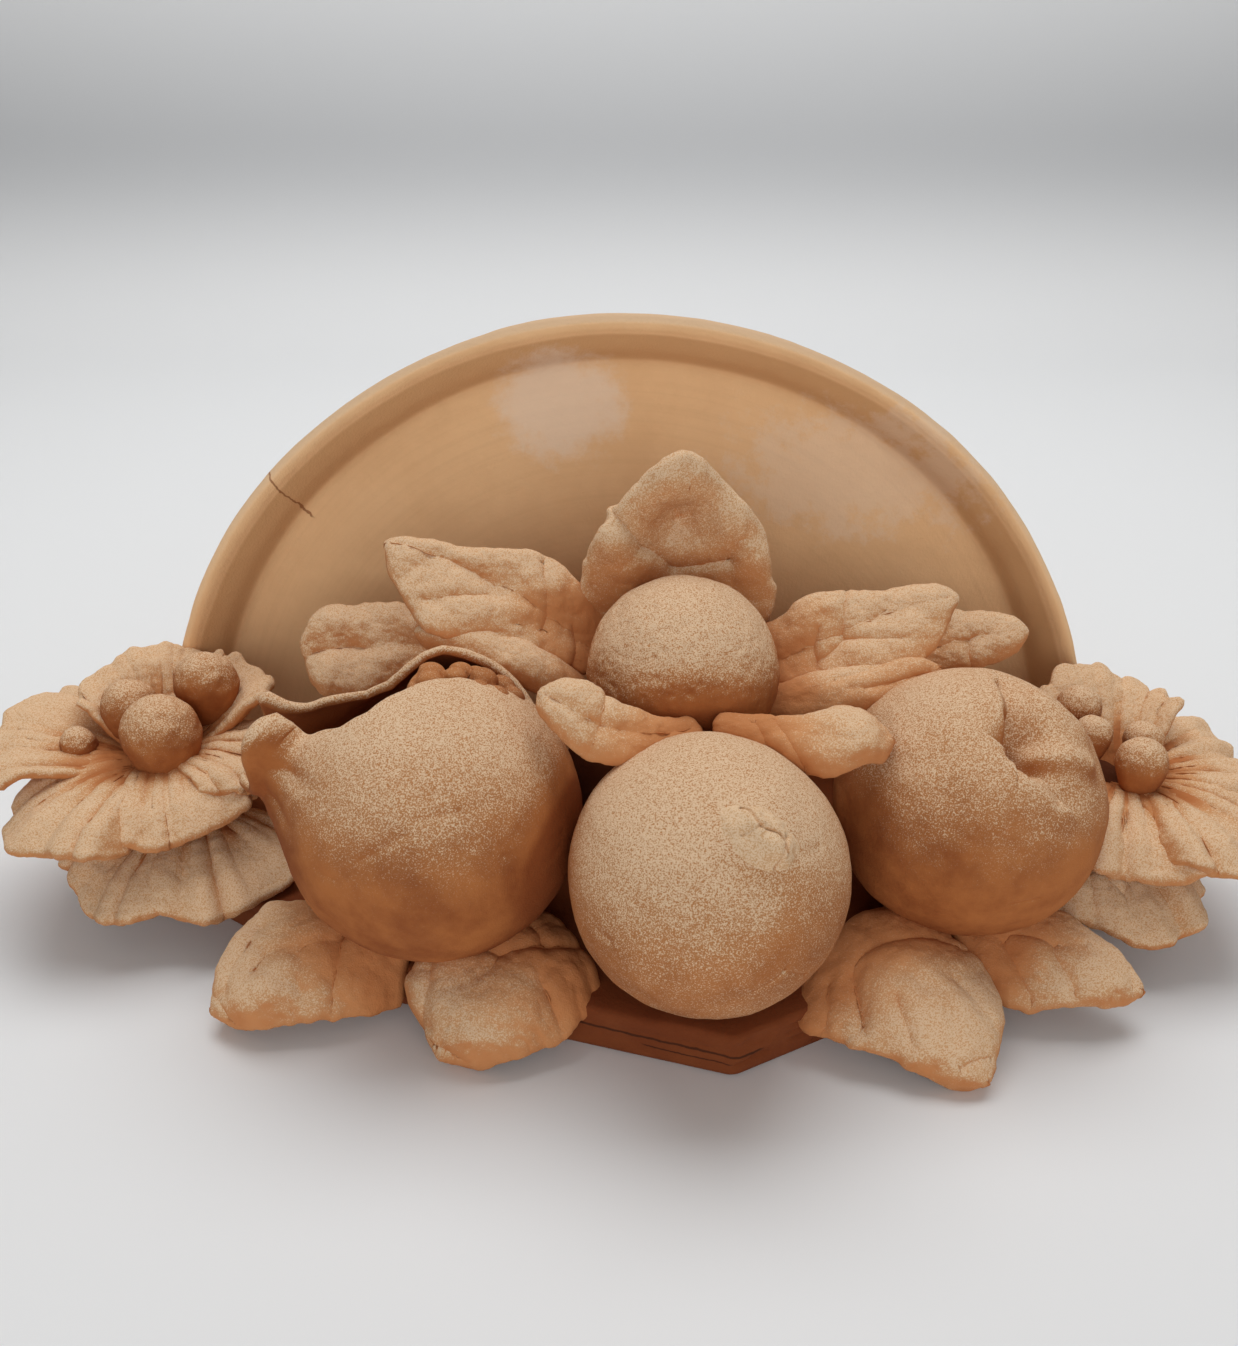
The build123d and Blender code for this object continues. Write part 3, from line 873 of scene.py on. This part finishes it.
def petal(name, node, heart, bearing, reach, rise, half_width, arch, seed):
    """One fan-shaped petal pressed into soft ribs that run out from the flower's heart to a ruffled edge."""
    rows, cols = 74, 110
    t, s = np.linspace(0.06, 1, rows), np.linspace(-1, 1, cols)
    tt, ss = np.meshgrid(t, s, indexing="ij")
    spread = math.atan2(half_width * 1.34, reach * 0.66)
    turn = math.radians(bearing) + ss * spread * (1.06 - 0.08 * tt)
    warped = ss + 0.16 * flat_noise(ss * 2.2, tt * 1.2, seed)
    rib = np.cos(math.pi * PETAL_RIBS * warped + seed) * (0.75 + 0.5 * flat_noise(ss * 3, tt * 0, seed + 6))
    fine = np.cos(math.pi * PETAL_RIBS * 2.3 * warped + 2 * seed) * (1 - 0.6 * smooth_step(tt, 0.35, 0.9))
    outline = 1 - 0.20 * np.abs(ss) ** 2.6 + 0.032 * rib + 0.07 * flat_noise(ss * 2.4, ss * 0, seed + 2)
    out = reach * (0.04 + 0.96 * tt) * (1 + (outline - 1) * tt)
    height = rise * tt**1.5 + arch * np.sin(math.pi * tt**0.8)
    height = height - 2.6 * bell(tt - 0.06, 0.24)
    strength = 0.15 + 0.95 * smooth_step(tt, 0.12, 0.75)
    height = height + strength * (0.80 * rib + 0.45 * fine)
    wave = np.sin(math.pi * 1.3 * ss + seed) + 0.8 * flat_noise(ss * 2.0, tt * 1.5, seed + 4)
    height = height + 2.1 * wave * tt**2 - 3.4 * smooth_step(tt, 0.80, 1.06)
    height = height - 1.6 * np.abs(ss) ** 5 * tt
    sheet = np.stack([out * np.cos(turn), out * np.sin(turn), height], -1) + heart
    body = PETAL_THICK * (1.0 + 0.10 * tt) * (1 - 0.25 * np.abs(ss) ** 4)
    points, quads = thicken(sheet, body)
    quads = turned_out(points, quads)
    # painted shade at the heart, dust towards the rim and on the ribs
    shade_to_dust = tt + 0.14 * rib + 0.10 * value_noise(sheet / 8, seed + 8)
    dust_and_shade = spread_to_rim(smooth_step(shade_to_dust, 0.25, 0.95))
    points = roughened(points, quads, (8, 0.35, seed + 21), (2.3, 0.17, seed + 22), (1.0, 0.06, seed + 23))
    return piece(name, points, quads, node, clay_petal, dust_and_shade)


# ---------------------------------------------------------------- pomegranate

CROWN = unit((-0.92, 0.04, 0.39))
TOWARDS_SLIT = np.array((0.34, 0.50, 0.80))
SLIT = unit(TOWARDS_SLIT - CROWN * (TOWARDS_SLIT @ CROWN))
ACROSS = np.cross(CROWN, SLIT)

POMEGRANATE_SCRATCHES = (
    ((0.55, -0.80, 0.20), (0.90, -0.42, 0.12), 0.6), ((0.70, -0.70, 0.02), (0.88, -0.46, 0.05), 0.5),
    ((-0.30, -0.92, 0.25), (-0.02, -0.90, 0.42), 0.35), ((-0.62, -0.75, 0.10), (-0.50, -0.86, 0.06), 0.6),
    ((0.05, -0.86, 0.50), (0.30, -0.80, 0.52), 0.3),
)


def pomegranate_centre():
    """Middle of the round body: the seed mass is cut flat only on the side of the crown."""
    low, high = corners_of("pomegranate_seeds")
    radius = (high[1] - low[1]) / 2
    return np.array([high[0] - radius, (low[1] + high[1]) / 2, (low[2] + high[2]) / 2]), radius + 3.3


def make_pomegranate():
    """Thin shell with a pinched, flared crown, torn open from the crown over the top."""
    centre, radius = pomegranate_centre()
    rows, cols = 190, 230
    q = np.linspace(0, 1, rows)
    out_at = [
        0.345, 0.335, 0.335, 0.385, 0.55, 0.74, 0.88, 0.97, 1.0, 0.98, 0.91, 0.79, 0.62, 0.42, 0.20,
        0.006,
    ]
    along_at = [
        1.27, 1.20, 1.12, 1.00, 0.86, 0.69, 0.49, 0.25, 0.0, -0.22, -0.43, -0.63, -0.80, -0.92, -0.99,
        -1.0,
    ]
    out, along = through(out_at, q) * radius, through(along_at, q) * radius
    polar = np.degrees(np.arctan2(out, along))
    stops = [0, 15, 25, 40, 50, 56, 66, 72, 80, 90, 100, 112, 180]
    front_edge = np.interp(polar, stops, [-62, -62, -62, -60, -53, -44, -33, -27, -24, -22, -18, -6, 0])
    rear_edge = np.interp(polar, stops, [30, 28, 20, 10, 4, 1, 0, 0, 1, 2, 1, 0, 0])
    rear_lift = np.interp(polar, stops, [3, 3, 2, -2.5, -2.5, -0.5, 4.0, 5.5, 5.5, 4.5, 2.5, 0, 0])
    front_lift = np.interp(polar, stops, [1, 0, 0, 0, 0, 0, 0, 0.3, 0.5, 0.5, 0.3, 0, 0])
    f = np.linspace(0, 1, cols)
    front_edge = front_edge + 1.2 * flat_noise(q * 24, q * 0, 91) * (polar < 100)
    theta = rear_edge[:, None] + (360 + front_edge - rear_edge)[:, None] * f[None, :]
    turn = np.radians(theta)
    from_rear = bell(theta - rear_edge[:, None], 24.0)
    from_front = bell(360 + front_edge[:, None] - theta, 22.0)
    crown = smooth_step(along / radius, 0.98, 1.25)[:, None]
    o = out[:, None] * (1 + crown * (-0.22 * bell(theta - 180, 50.0)))
    o = o + crown * (2.6 * bell(theta - 285, 26.0) - 1.5 * bell(theta - 245, 18.0))
    a = along[:, None] + crown * (-2.6 * bell(theta - 200, 45.0) + 1.2 * np.sin(np.radians(theta * 3)))
    lift = rear_lift[:, None] * from_rear + front_lift[:, None] * from_front
    size = np.sqrt(o**2 + a**2)
    o, a = o * (1 + lift / size), a * (1 + lift / size)
    ring = SLIT * np.cos(turn)[..., None] + ACROSS * np.sin(turn)[..., None]
    sheet = ring * o[..., None] + CROWN * a[..., None]
    ribs = bell(theta - 262, 9.0) + 0.8 * bell(theta - 225, 10.0) + 0.6 * bell(theta - 300, 8.0)
    neck = bell(along / radius - 1.02, 0.20)[:, None]
    push = 0.45 * lumps(sheet, 25, 95) - 1.5 * ribs * neck
    for start, end, depth in POMEGRANATE_SCRATCHES:
        groove = crease(sheet.reshape(-1, 3), np.array(start) * radius, np.array(end) * radius, depth, 1.0)
        push = push + groove.reshape(push.shape)
    sheet = sheet + unit(sheet) * push[..., None]
    thick = np.interp(polar, [0, 20, 60, 120, 165, 180], [3.2, 3.2, 3.0, 3.0, 2.5, 0.3])[:, None]
    thick = (
        thick * (1 - 0.15 * from_rear * (polar < 110)[:, None])
        + crown * (4.2 * from_front + 1.6 * from_rear)
    )
    points, quads = thicken(sheet - unit(sheet) * thick[..., None] / 2, thick)
    quads = turned_out(points, quads)
    count = rows * cols
    reach = np.linalg.norm(points[: 2 * count], axis=1).reshape(2, count).mean(1)
    # painted shade: the shell's inner face gets no dust and the deep colour; its outer face and torn rim are
    # dusty
    faces = (0.9, 0.0) if reach[0] > reach[1] else (0.0, 0.9)
    pale = np.repeat([*faces, 1.0], [count, count, len(points) - 2 * count])
    points = roughened(points, quads, (9, 0.14, 96), (3, 0.08, 97))
    points[:, 2] = np.maximum(points[:, 2], -radius)
    # painted shade on the lower half and near the other fruits: less dust and the deep colour
    lower_half_shade = smooth_step(-points[:, 2] / radius + 0.25 * value_noise(points / 16, 99), -0.75, 0.55)
    dust_and_shade = np.clip(pale - 0.62 * lower_half_shade - 0.9 * fruit_contact_shade(points + centre, "pomegranate_seeds"), 0, 1)
    return piece(
        "PomegranateShell", points + centre, quads, "pomegranate_shell", clay_fruit,
        dust_and_shade,
    )


def make_seeds():
    """Packed seeds that show through the tear."""
    centre, radius = pomegranate_centre()
    ways, quads = ball(130)
    rng = np.random.default_rng(19)
    mass = radius - 5.2
    form = np.full(len(ways), mass, float)
    spots = []
    for polar in np.arange(44, 118, 8.6):
        for turn in np.arange(-62, 32, 9.5 / max(0.5, math.sin(math.radians(polar)))):
            spots.append(
                (polar + rng.uniform(-2.2, 2.2), turn + rng.uniform(-2.5, 2.5) + (polar // 8.6 % 2) * 5)
            )
    for polar, turn in spots:
        p, u = math.radians(polar), math.radians(turn)
        way = CROWN * math.cos(p) + math.sin(p) * (SLIT * math.cos(u) + ACROSS * math.sin(u))
        gap = np.linalg.norm(ways * mass - way * mass, axis=1)
        grain = rng.uniform(3.0, 3.7)
        deep = np.sqrt(np.maximum(grain**2 - gap**2, 0))
        bulge = np.interp(polar, [44, 58, 66, 90, 105, 118], [-2.5, -0.5, 4.6, 5.8, 4.8, 0.0])
        bulge = bulge * math.exp(-(((turn + 10) / 20.0) ** 2))
        form = np.maximum(form, np.where(gap < grain, mass + bulge + deep - 1.6, 0))
    points = ways * form[:, None]
    flat = radius * 0.44
    along = points @ CROWN
    cut = np.maximum(along - flat - 1.2 * value_noise(points / 6, 98), 0) * 0.93
    points = points - CROWN * cut[:, None]
    return piece(
        "PomegranateSeeds", points + centre, turned_out(points, quads), "pomegranate_seeds",
        clay_seed,
    )


make_pomegranate()
make_seeds()
make_lump("MoundClay", "centre_mound", 101)
make_lump("LeftFlowerCore", "left_flower_core", 102)
make_lump("RightFlowerCore", "right_flower_core", 103)

leaf(
    "BackLeafCentre", "back_leaf_centre", [(-5.3, 1.3, -33.5), (-0.3, 3.3, 2.5), (-1.3, -3.7, 34.5)],
    (0.1, -1, 0.2), [23.5, 24.5, 25, 22.5, 18.5, 10, 3.5], [25.5, 27, 27, 26, 23.5, 16, 6.5], cup=0.16,
    seed=201, droop=1.5, puff=0.2, lobes=2, notch=0.0, midrib=0.0, material=clay_back_leaf,
    marks=[
        (0.78, -1.16, 0.56, -0.71, 3.0, 1.7), (0.56, -0.71, 0.46, -0.17, 3.2, 1.8),
        (0.46, -0.17, 0.50, 0.75, 2.4, 2.2), (0.50, 0.75, 0.66, 0.92, 1.0, 2.4),
    ],
    swells=[
        (0.68, -0.10, -7.0, 9), (0.62, -1.15, 4.0, 7), (0.46, -0.85, 2.2, 7), (0.70, 0.80, 2.6, 5.5),
        (0.51, 1.10, 2.4, 6), (0.50, 0.10, 1.6, 7), (0.90, -0.15, 3.0, 6),
    ],
    shade_to_dust_from=-0.3,
)
leaf(
    "BackLeafLeftFront", "back_leaf_left_front",
    [(25.1, 3.1, -15.5), (-0.9, 3.1, 6.5), (-30.9, 6.1, 17.5)], (0.2, -0.75, 0.6),
    [9.5, 11, 13, 10, 5, 3, 1.5], [6, 12, 15, 17, 20, 14.5, 6], cup=0.15, seed=211, droop=1.0, lobes=3,
    notch=0.05, puff=0.35, vein=0.1, midrib=0.1,
    marks=[
        (0.37, 0.62, 0.24, -0.28, 2.2, 1.3), (0.14, 0.10, 0.04, -0.40, 2.0, 1.2),
        (0.77, 0.03, 0.52, -0.10, 1.0, 2.2), (0.78, -0.74, 0.47, -0.22, 1.0, 2.0),
    ],
    swells=[(0.31, 0.35, 1.6, 5), (0.92, 0.0, 1.2, 4)], shade_to_dust_from=0.05,
)
leaf(
    "BackLeafLeftFold", "back_leaf_left_front",
    [(22.5, -6.0, -22.0), (1.0, -11.5, -6.0), (-23.0, -5.0, -3.0)], (0.1, -0.55, 0.8),
    [3.0, 4.5, 5.2, 5.5, 5.2, 4.2, 2.0], [3.0, 4.2, 4.8, 5.0, 4.6, 3.6, 2.0], cup=-0.30, seed=215,
    droop=1.8, thick=5.2, puff=0.0, rows=70, cols=36, shade_to_dust_from=-0.1, slant=0.0,
)
leaf(
    "BackLeafLeftRear", "back_leaf_left_rear", [(23.9, 1.7, -4.8), (-2.1, 0.7, 1.2), (-26.1, 0.7, 1.2)],
    (0.1, -0.8, 0.6), [12, 12.5, 11.5, 10.8, 10.5, 9.5, 6.5], [12.5, 13, 13, 13, 15, 15.5, 8], cup=0.10,
    seed=221, droop=1.5, lobes=3, notch=0.08, puff=0.5, midrib=0.0,
    marks=[(0.95, -0.20, 0.60, -0.12, 1.0, 2.0)],
    swells=[(0.70, -0.10, -1.4, 4), (0.85, 0.35, 1.2, 5), (0.85, -0.6, 1.4, 5)], shade_to_dust_from=0.1,
)
leaf(
    "BackLeafLeftRearStalk", "back_leaf_left_rear",
    [(20.0, 1.0, -4.0), (34.0, -3.5, 0.0), (50.0, -10.0, 4.0)], (0.1, -0.8, 0.6), [8, 7.5, 7, 6.5, 5],
    [8, 7.5, 7, 6.5, 5], cup=-0.1, seed=225, droop=1.0, puff=0.0, rows=50, cols=36, shade_to_dust_from=0.6,
    slant=0.0,
)
leaf(
    "BackLeafRightFront", "back_leaf_right_front",
    [(-24.0, 2.0, -8.0), (0.0, 3.0, 4.0), (28.0, 8.0, 11.0)], (-0.2, -0.75, 0.6),
    [13, 14, 15, 16, 16, 11, 2.0], [9, 10, 11.5, 9.5, 6.5, 5, 3], cup=0.15, seed=231, droop=1.0, lobes=3,
    notch=0.04, puff=0.3, midrib=0.1,
    marks=[
        (0.52, -0.60, 0.42, 0.15, 2.0, 1.3), (0.32, -0.15, 0.22, 0.40, 1.8, 1.3),
        (0.26, 0.32, 0.45, 0.19, 1.2, 1.6), (0.45, 0.19, 0.68, 0.44, 1.2, 1.8),
        (0.78, -0.28, 0.60, 0.0, 0.8, 2.0),
    ],
    swells=[(0.92, -0.02, 1.8, 4.5), (0.33, -0.35, 1.4, 6)], shade_to_dust_from=0.05,
)
leaf(
    "BackLeafRightFold", "back_leaf_right_front",
    [(-25.5, -11.0, -12.5), (-1.5, -13.0, -5.5), (21.5, -10.0, -1.0)], (0.0, -0.6, 0.8),
    [4.5, 6.5, 7.5, 7.5, 7.0, 5.8, 4.0], [3.0, 5.0, 6.0, 6.0, 5.5, 4.8, 3.0], cup=-0.25, seed=235,
    droop=2.0, thick=4.6, puff=0.5, rows=76, cols=44, shade_to_dust_from=0.1, slant=0.1,
    marks=[(0.95, 0.05, 0.55, 0.12, 1.2, 1.2), (0.75, -0.20, 0.40, -0.10, 0.8, 1.2)],
)
leaf(
    "BackLeafRightRear", "back_leaf_right_rear", [(-18.8, 0.9, -3.1), (1.2, 0.9, 2.9), (21.2, 1.9, 5.9)],
    (-0.1, -0.8, 0.6), [8, 8, 7.5, 7, 6.5, 6, 3], [10, 10, 10, 8.5, 7, 5.5, 3], cup=0.10, seed=241,
    droop=1.0, puff=0.8, marks=[(0.62, -0.01, 0.57, 0.42, 1.2, 1.4)], swells=[(0.93, 0.0, 1.6, 4)],
    shade_to_dust_from=0.2,
)
leaf(
    "BackLeafRightRearStalk", "back_leaf_right_rear",
    [(-15.0, 0.0, -3.0), (-28.0, -6.5, 1.0), (-40.0, -13.5, 6.0)], (-0.1, -0.8, 0.6), [7, 7, 6.5, 6, 4.5],
    [7, 7, 6.5, 6, 4.5], cup=-0.1, seed=245, droop=1.0, puff=0.0, rows=50, cols=36, shade_to_dust_from=0.6,
    slant=0.0,
)
leaf(
    "MidLeafLeft", "mid_leaf_left", [(19.0, 7.4, -7.7), (-0.0, -1.6, -2.7), (-18.0, 1.4, 6.3)],
    (-0.2, -0.6, 0.8), [3, 4.5, 6.2, 6.2, 7.0, 7.6, 5.2], [2.5, 3, 4.5, 7.0, 6.8, 5.0, 3.0], cup=0.10,
    seed=251, droop=1.6, thick=5.2, puff=0.1, rows=80, cols=56,
    marks=[(0.66, 0.38, 0.62, -0.38, 1.0, 1.6)], swells=[(0.90, 0.2, 1.4, 6)], shade_to_dust_from=0.25,
)
leaf(
    "MidLeafRight", "mid_leaf_right", [(-20.6, 4.8, 0.0), (1.4, -1.2, 1.0), (21.4, -0.2, -1.0)],
    (0.1, -0.5, 0.85), [2.5, 3, 5, 8.2, 7.5, 5, 3], [2.5, 3, 3.5, 5.5, 8.5, 8, 3.5], cup=-0.15, seed=261,
    droop=1.6, thick=5.2, puff=0.4, rows=80, cols=56,
    marks=[
        (0.18, -0.03, 0.29, 0.25, 1.4, 1.1), (0.29, 0.25, 0.45, 0.50, 1.4, 1.1),
        (0.28, -0.11, 0.47, 0.42, 1.2, 1.0),
    ],
    swells=[(0.80, 0.0, 1.6, 6)], shade_to_dust_from=0.25,
)
leaf(
    "FrontLeafLeftOuter", "front_leaf_left_outer",
    [(24.1, 6.8, 3.2), (-1.9, -5.2, 3.2), (-22.9, -14.2, -6.8)], (-0.2, -0.5, 0.85),
    [11, 12, 15.5, 19, 15.5, 10.5, 4], [18, 18.5, 17.5, 15.5, 13, 10, 4.5], cup=-0.15, seed=271,
    droop=3.5,
    marks=[
        (0.60, 0.66, 0.88, -0.02, 1.3, 2.4), (0.26, -0.05, 0.37, -0.90, 1.5, 2.2),
        (0.45, -0.03, 0.52, -0.50, 0.9, 2.4), (0.50, 0.28, 0.70, -0.02, 0.8, 2.2),
        (0.95, 0.20, 0.90, -0.5, 0.7, 0.8),
    ],
    swells=[(0.72, 0.55, 1.4, 6), (0.65, -0.35, 1.6, 7), (0.36, 0.20, 1.2, 7)], shade_to_dust_from=0.28,
)
leaf(
    "FrontLeafLeftInner", "front_leaf_left_inner",
    [(12.5, 15.9, 5.3), (-1.5, -3.1, 5.3), (-15.5, -18.1, -6.7)], (-0.1, -0.5, 0.85),
    [17, 17.5, 17.5, 17.5, 19, 17.5, 6], [20, 21, 20.5, 19.5, 16.5, 12.5, 6], cup=-0.15, seed=281,
    droop=4.0,
    marks=[
        (0.62, 0.86, 0.93, 0.42, 2.2, 2.2), (-0.05, -0.56, 0.19, -0.25, 1.6, 1.6),
        (0.19, -0.25, 0.40, 0.15, 1.2, 1.8), (0.40, 0.15, 0.51, 0.81, 1.0, 2.2),
        (0.35, -0.56, 0.38, -0.98, 1.5, 2.4), (0.15, 0.19, 0.19, -0.21, 1.6, 1.2),
        (0.41, 0.12, 0.66, 0.19, 0.9, 2.8), (0.97, 0.15, 0.93, -0.35, 0.7, 0.8),
    ],
    swells=[(0.72, 0.05, 1.8, 7), (0.55, -0.55, 1.4, 6), (0.62, 0.95, 1.2, 4.5), (0.20, 0.35, 1.4, 6)],
    shade_to_dust_from=0.36,
)
leaf(
    "FrontLeafRightInner", "front_leaf_right_inner",
    [(-7.6, 18.6, 5.5), (5.4, -2.4, 4.5), (19.4, -22.4, -7.5)], (0.1, -0.5, 0.85),
    [26, 27, 24.5, 21, 16.5, 11, 5], [17, 17.5, 17.5, 19, 17.5, 12.5, 4.5], cup=-0.12, seed=291,
    droop=3.5,
    marks=[
        (0.20, 0.30, 0.27, -0.21, 2.2, 1.3), (0.27, -0.21, 0.32, -0.68, 1.8, 1.3),
        (0.32, -0.68, 0.41, -1.0, 1.2, 1.3), (0.22, 0.64, 0.48, 0.98, 1.6, 2.2),
        (0.50, 0.44, 0.70, 0.60, 1.6, 1.8), (0.57, -0.40, 0.88, -0.50, 1.0, 2.4),
        (0.14, 0.97, 0.25, 1.30, 1.0, 2.4), (0.93, -0.15, 0.90, 0.25, 0.8, 0.8),
    ],
    swells=[(0.42, -0.15, 1.8, 8), (0.40, 0.50, 1.0, 5), (0.70, 0.05, 1.4, 7), (0.10, -0.35, 1.6, 7)],
    shade_to_dust_from=0.30,
)
leaf(
    "FrontLeafRightOuter", "front_leaf_right_outer",
    [(-20.0, 10.8, 1.5), (2.0, -0.2, 1.5), (22.0, -10.2, -3.5)], (0.2, -0.5, 0.85),
    [18, 18, 17.3, 15, 11.5, 7.8, 3], [9, 9, 9.5, 10, 7.5, 5, 2.5], cup=-0.12, seed=301, droop=2.5,
    marks=[
        (0.22, 0.30, 0.42, 0.86, 1.4, 2.2), (0.49, 0.22, 0.66, 0.53, 1.4, 2.0),
        (0.26, 0.12, 0.50, 0.08, 1.0, 1.4), (0.95, 0.1, 0.86, -0.2, 0.6, 0.8),
    ],
    swells=[(0.40, 0.30, 1.4, 5), (0.75, 0.15, 1.2, 5), (0.22, -0.2, 1.2, 6)], shade_to_dust_from=0.30,
)

LEFT_HEART = near("left_flower_core", (-7, 0, 16.5))
LEFT_SKIRT = near("left_flower_core", (-1, 0, -4.5))
RIGHT_HEART = near("right_flower_core", (12, -4.5, 15.5))
RIGHT_SKIRT = near("right_flower_core", (2.5, -1.2, -3.5))
# bearing in degrees, reach, rise of the tip, half-width and arch in mm
LEFT_UPPER = [
    (224, 46, -5, 23, 3), (296, 37, -2, 21, 3), (352, 36, 6, 17, 3), (60, 33, 19, 16, 0),
    (112, 35, 20, 21, 0), (168, 52, 8, 24, 0),
]
LEFT_LOWER = [(240, 40, -7, 21, 3), (305, 40, -6, 21, 3), (180, 36, -4, 18, 2), (100, 26, 4, 14, 2)]
RIGHT_UPPER = [
    (262, 36, -4, 21, 3), (318, 42, -3, 19, 3), (20, 42, 4, 20, 2), (85, 33, 19, 19, 0),
    (150, 33, 12, 16, 0),
]
RIGHT_LOWER = [(238, 38, -2, 19, 3), (282, 44, -6, 18, 3), (325, 34, -4, 17, 3), (90, 26, 4, 14, 2)]


BERRIES = 4


def make_flower(side, upper, upper_heart, lower, lower_heart, seed):
    """Two ranks of petals, the upper a little pressed down, and the small balls at the heart."""
    for rank, rows, heart in (("upper", upper, upper_heart), ("lower", lower, lower_heart)):
        for k, (bearing, reach, rise, half_width, arch) in enumerate(rows, 1):
            node = f"{side}_flower_{rank}_petal_{k}"
            name = f"{side.title()}{rank.title()}Petal{k}"
            lift = np.array((0, 0, -3.0 - 0.25 * (k % 2))) if rank == "upper" else np.zeros(3)
            own_seed = seed + 7 * k + (50 if rank == "lower" else 0)
            petal(name, node, heart + lift, bearing, reach, rise, half_width, arch, own_seed)
    for k in range(1, BERRIES + 1):
        name, node = f"{side.title()}Berry{k}", f"{side}_flower_berry_{k}"
        make_ball(name, node, clay_fruit, 40, berry_form, contact_shade=0, underside_shade=0.8, drop=0.8)


make_flower("left", LEFT_UPPER, LEFT_HEART, LEFT_LOWER, LEFT_SKIRT, 400)
make_flower("right", RIGHT_UPPER, RIGHT_HEART, RIGHT_LOWER, RIGHT_SKIRT, 500)

# ---------------------------------------------------------------- camera, light and floor


# The view of the photograph: place and lens in mm, and degrees below level.
CAMERA_PLACE = (-3.0, -302.4, 233.3)
CAMERA_LENS = 33.43
CAMERA_DIP = 27


def make_camera():
    camera = bpy.data.cameras.new("Camera")
    camera.lens = CAMERA_LENS
    camera.sensor_width = 36.0
    camera.sensor_fit = "AUTO"
    camera.clip_start = 0.01
    made = put_in_scene("Camera", camera)
    made.location = Vector(CAMERA_PLACE) * MM
    made.rotation_euler = (math.radians(90 - CAMERA_DIP), 0, 0)
    bpy.context.scene.camera = made


def make_light(name, place, target, size, power):
    """A white area light. Sizes and places in metres, power in watts."""
    light = bpy.data.lights.new(name, "AREA")
    light.shape = "RECTANGLE"
    light.size, light.size_y = size
    light.energy = power
    made = put_in_scene(name, light)
    made.location = place
    way = Vector(target) - Vector(place)
    made.rotation_euler = way.to_track_quat("-Z", "Y").to_euler()


def table_material():
    """Matt and pale where it lies flat and high on the wall, with painted shade in mid grey where it turns up
    between them.
    """
    material, n = new_material("PaleTable")
    place = n.add("ShaderNodeTexCoord").outputs["Object"]
    up = n.add("ShaderNodeSeparateXYZ", {0: place}).outputs[2]
    # painted shade: a mid grey band where the table turns up into the wall
    tone = n.blend(n.span(up, 0.0, 0.16), (0.83, 0.84, 0.85, 1), (0.46, 0.47, 0.485, 1))
    tone = n.blend(n.span(up, 0.10, 0.36), tone, (0.80, 0.81, 0.82, 1))
    tone = n.blend(n.times(n.noise(place, 4.0, 2, 0.5), 0.05), tone, (0.7, 0.7, 0.7, 1))
    shader = n.add("ShaderNodeBsdfPrincipled", {"Base Color": tone, "Roughness": 0.6})
    n.add("ShaderNodeOutputMaterial", {0: shader.outputs[0]})
    return material


def make_stage():
    """A pale table that sweeps up into a plain wall behind."""
    half, back, bend, top = 4.0, 1.05, 0.35, 2.6
    profile = [(-4.0, 0.0), (back - bend, 0.0)]
    for k in range(1, 13):
        a = math.pi / 2 * k / 12
        profile.append((back - bend + bend * math.sin(a), bend - bend * math.cos(a)))
    profile.append((back, top))
    verts = [(x, y, z) for y, z in profile for x in (-half, half)]
    faces = [(2 * k, 2 * k + 1, 2 * k + 3, 2 * k + 2) for k in range(len(profile) - 1)]
    mesh = bpy.data.meshes.new("Floor")
    mesh.from_pydata(verts, [], faces)
    mesh.shade_smooth()
    mesh.materials.append(table_material())
    floor = put_in_scene("Floor", mesh)


make_camera()
make_stage()
make_light("Overhead", (0.0, 0.40, 1.20), target=(0.0, 0.0, 0.0), size=(1.3, 0.8), power=10.8)
make_light("Front", (0.0, -1.6, 0.60), target=(0.0, 0.0, 0.08), size=(2.6, 1.0), power=11.5)
world = bpy.data.worlds.new("World")
world.use_nodes = True
world.node_tree.nodes["Background"].inputs[0].default_value = (1.0, 0.98, 0.95, 1)
world.node_tree.nodes["Background"].inputs[1].default_value = 0.25
bpy.context.scene.world = world
bpy.context.scene.view_settings.view_transform = "Standard"
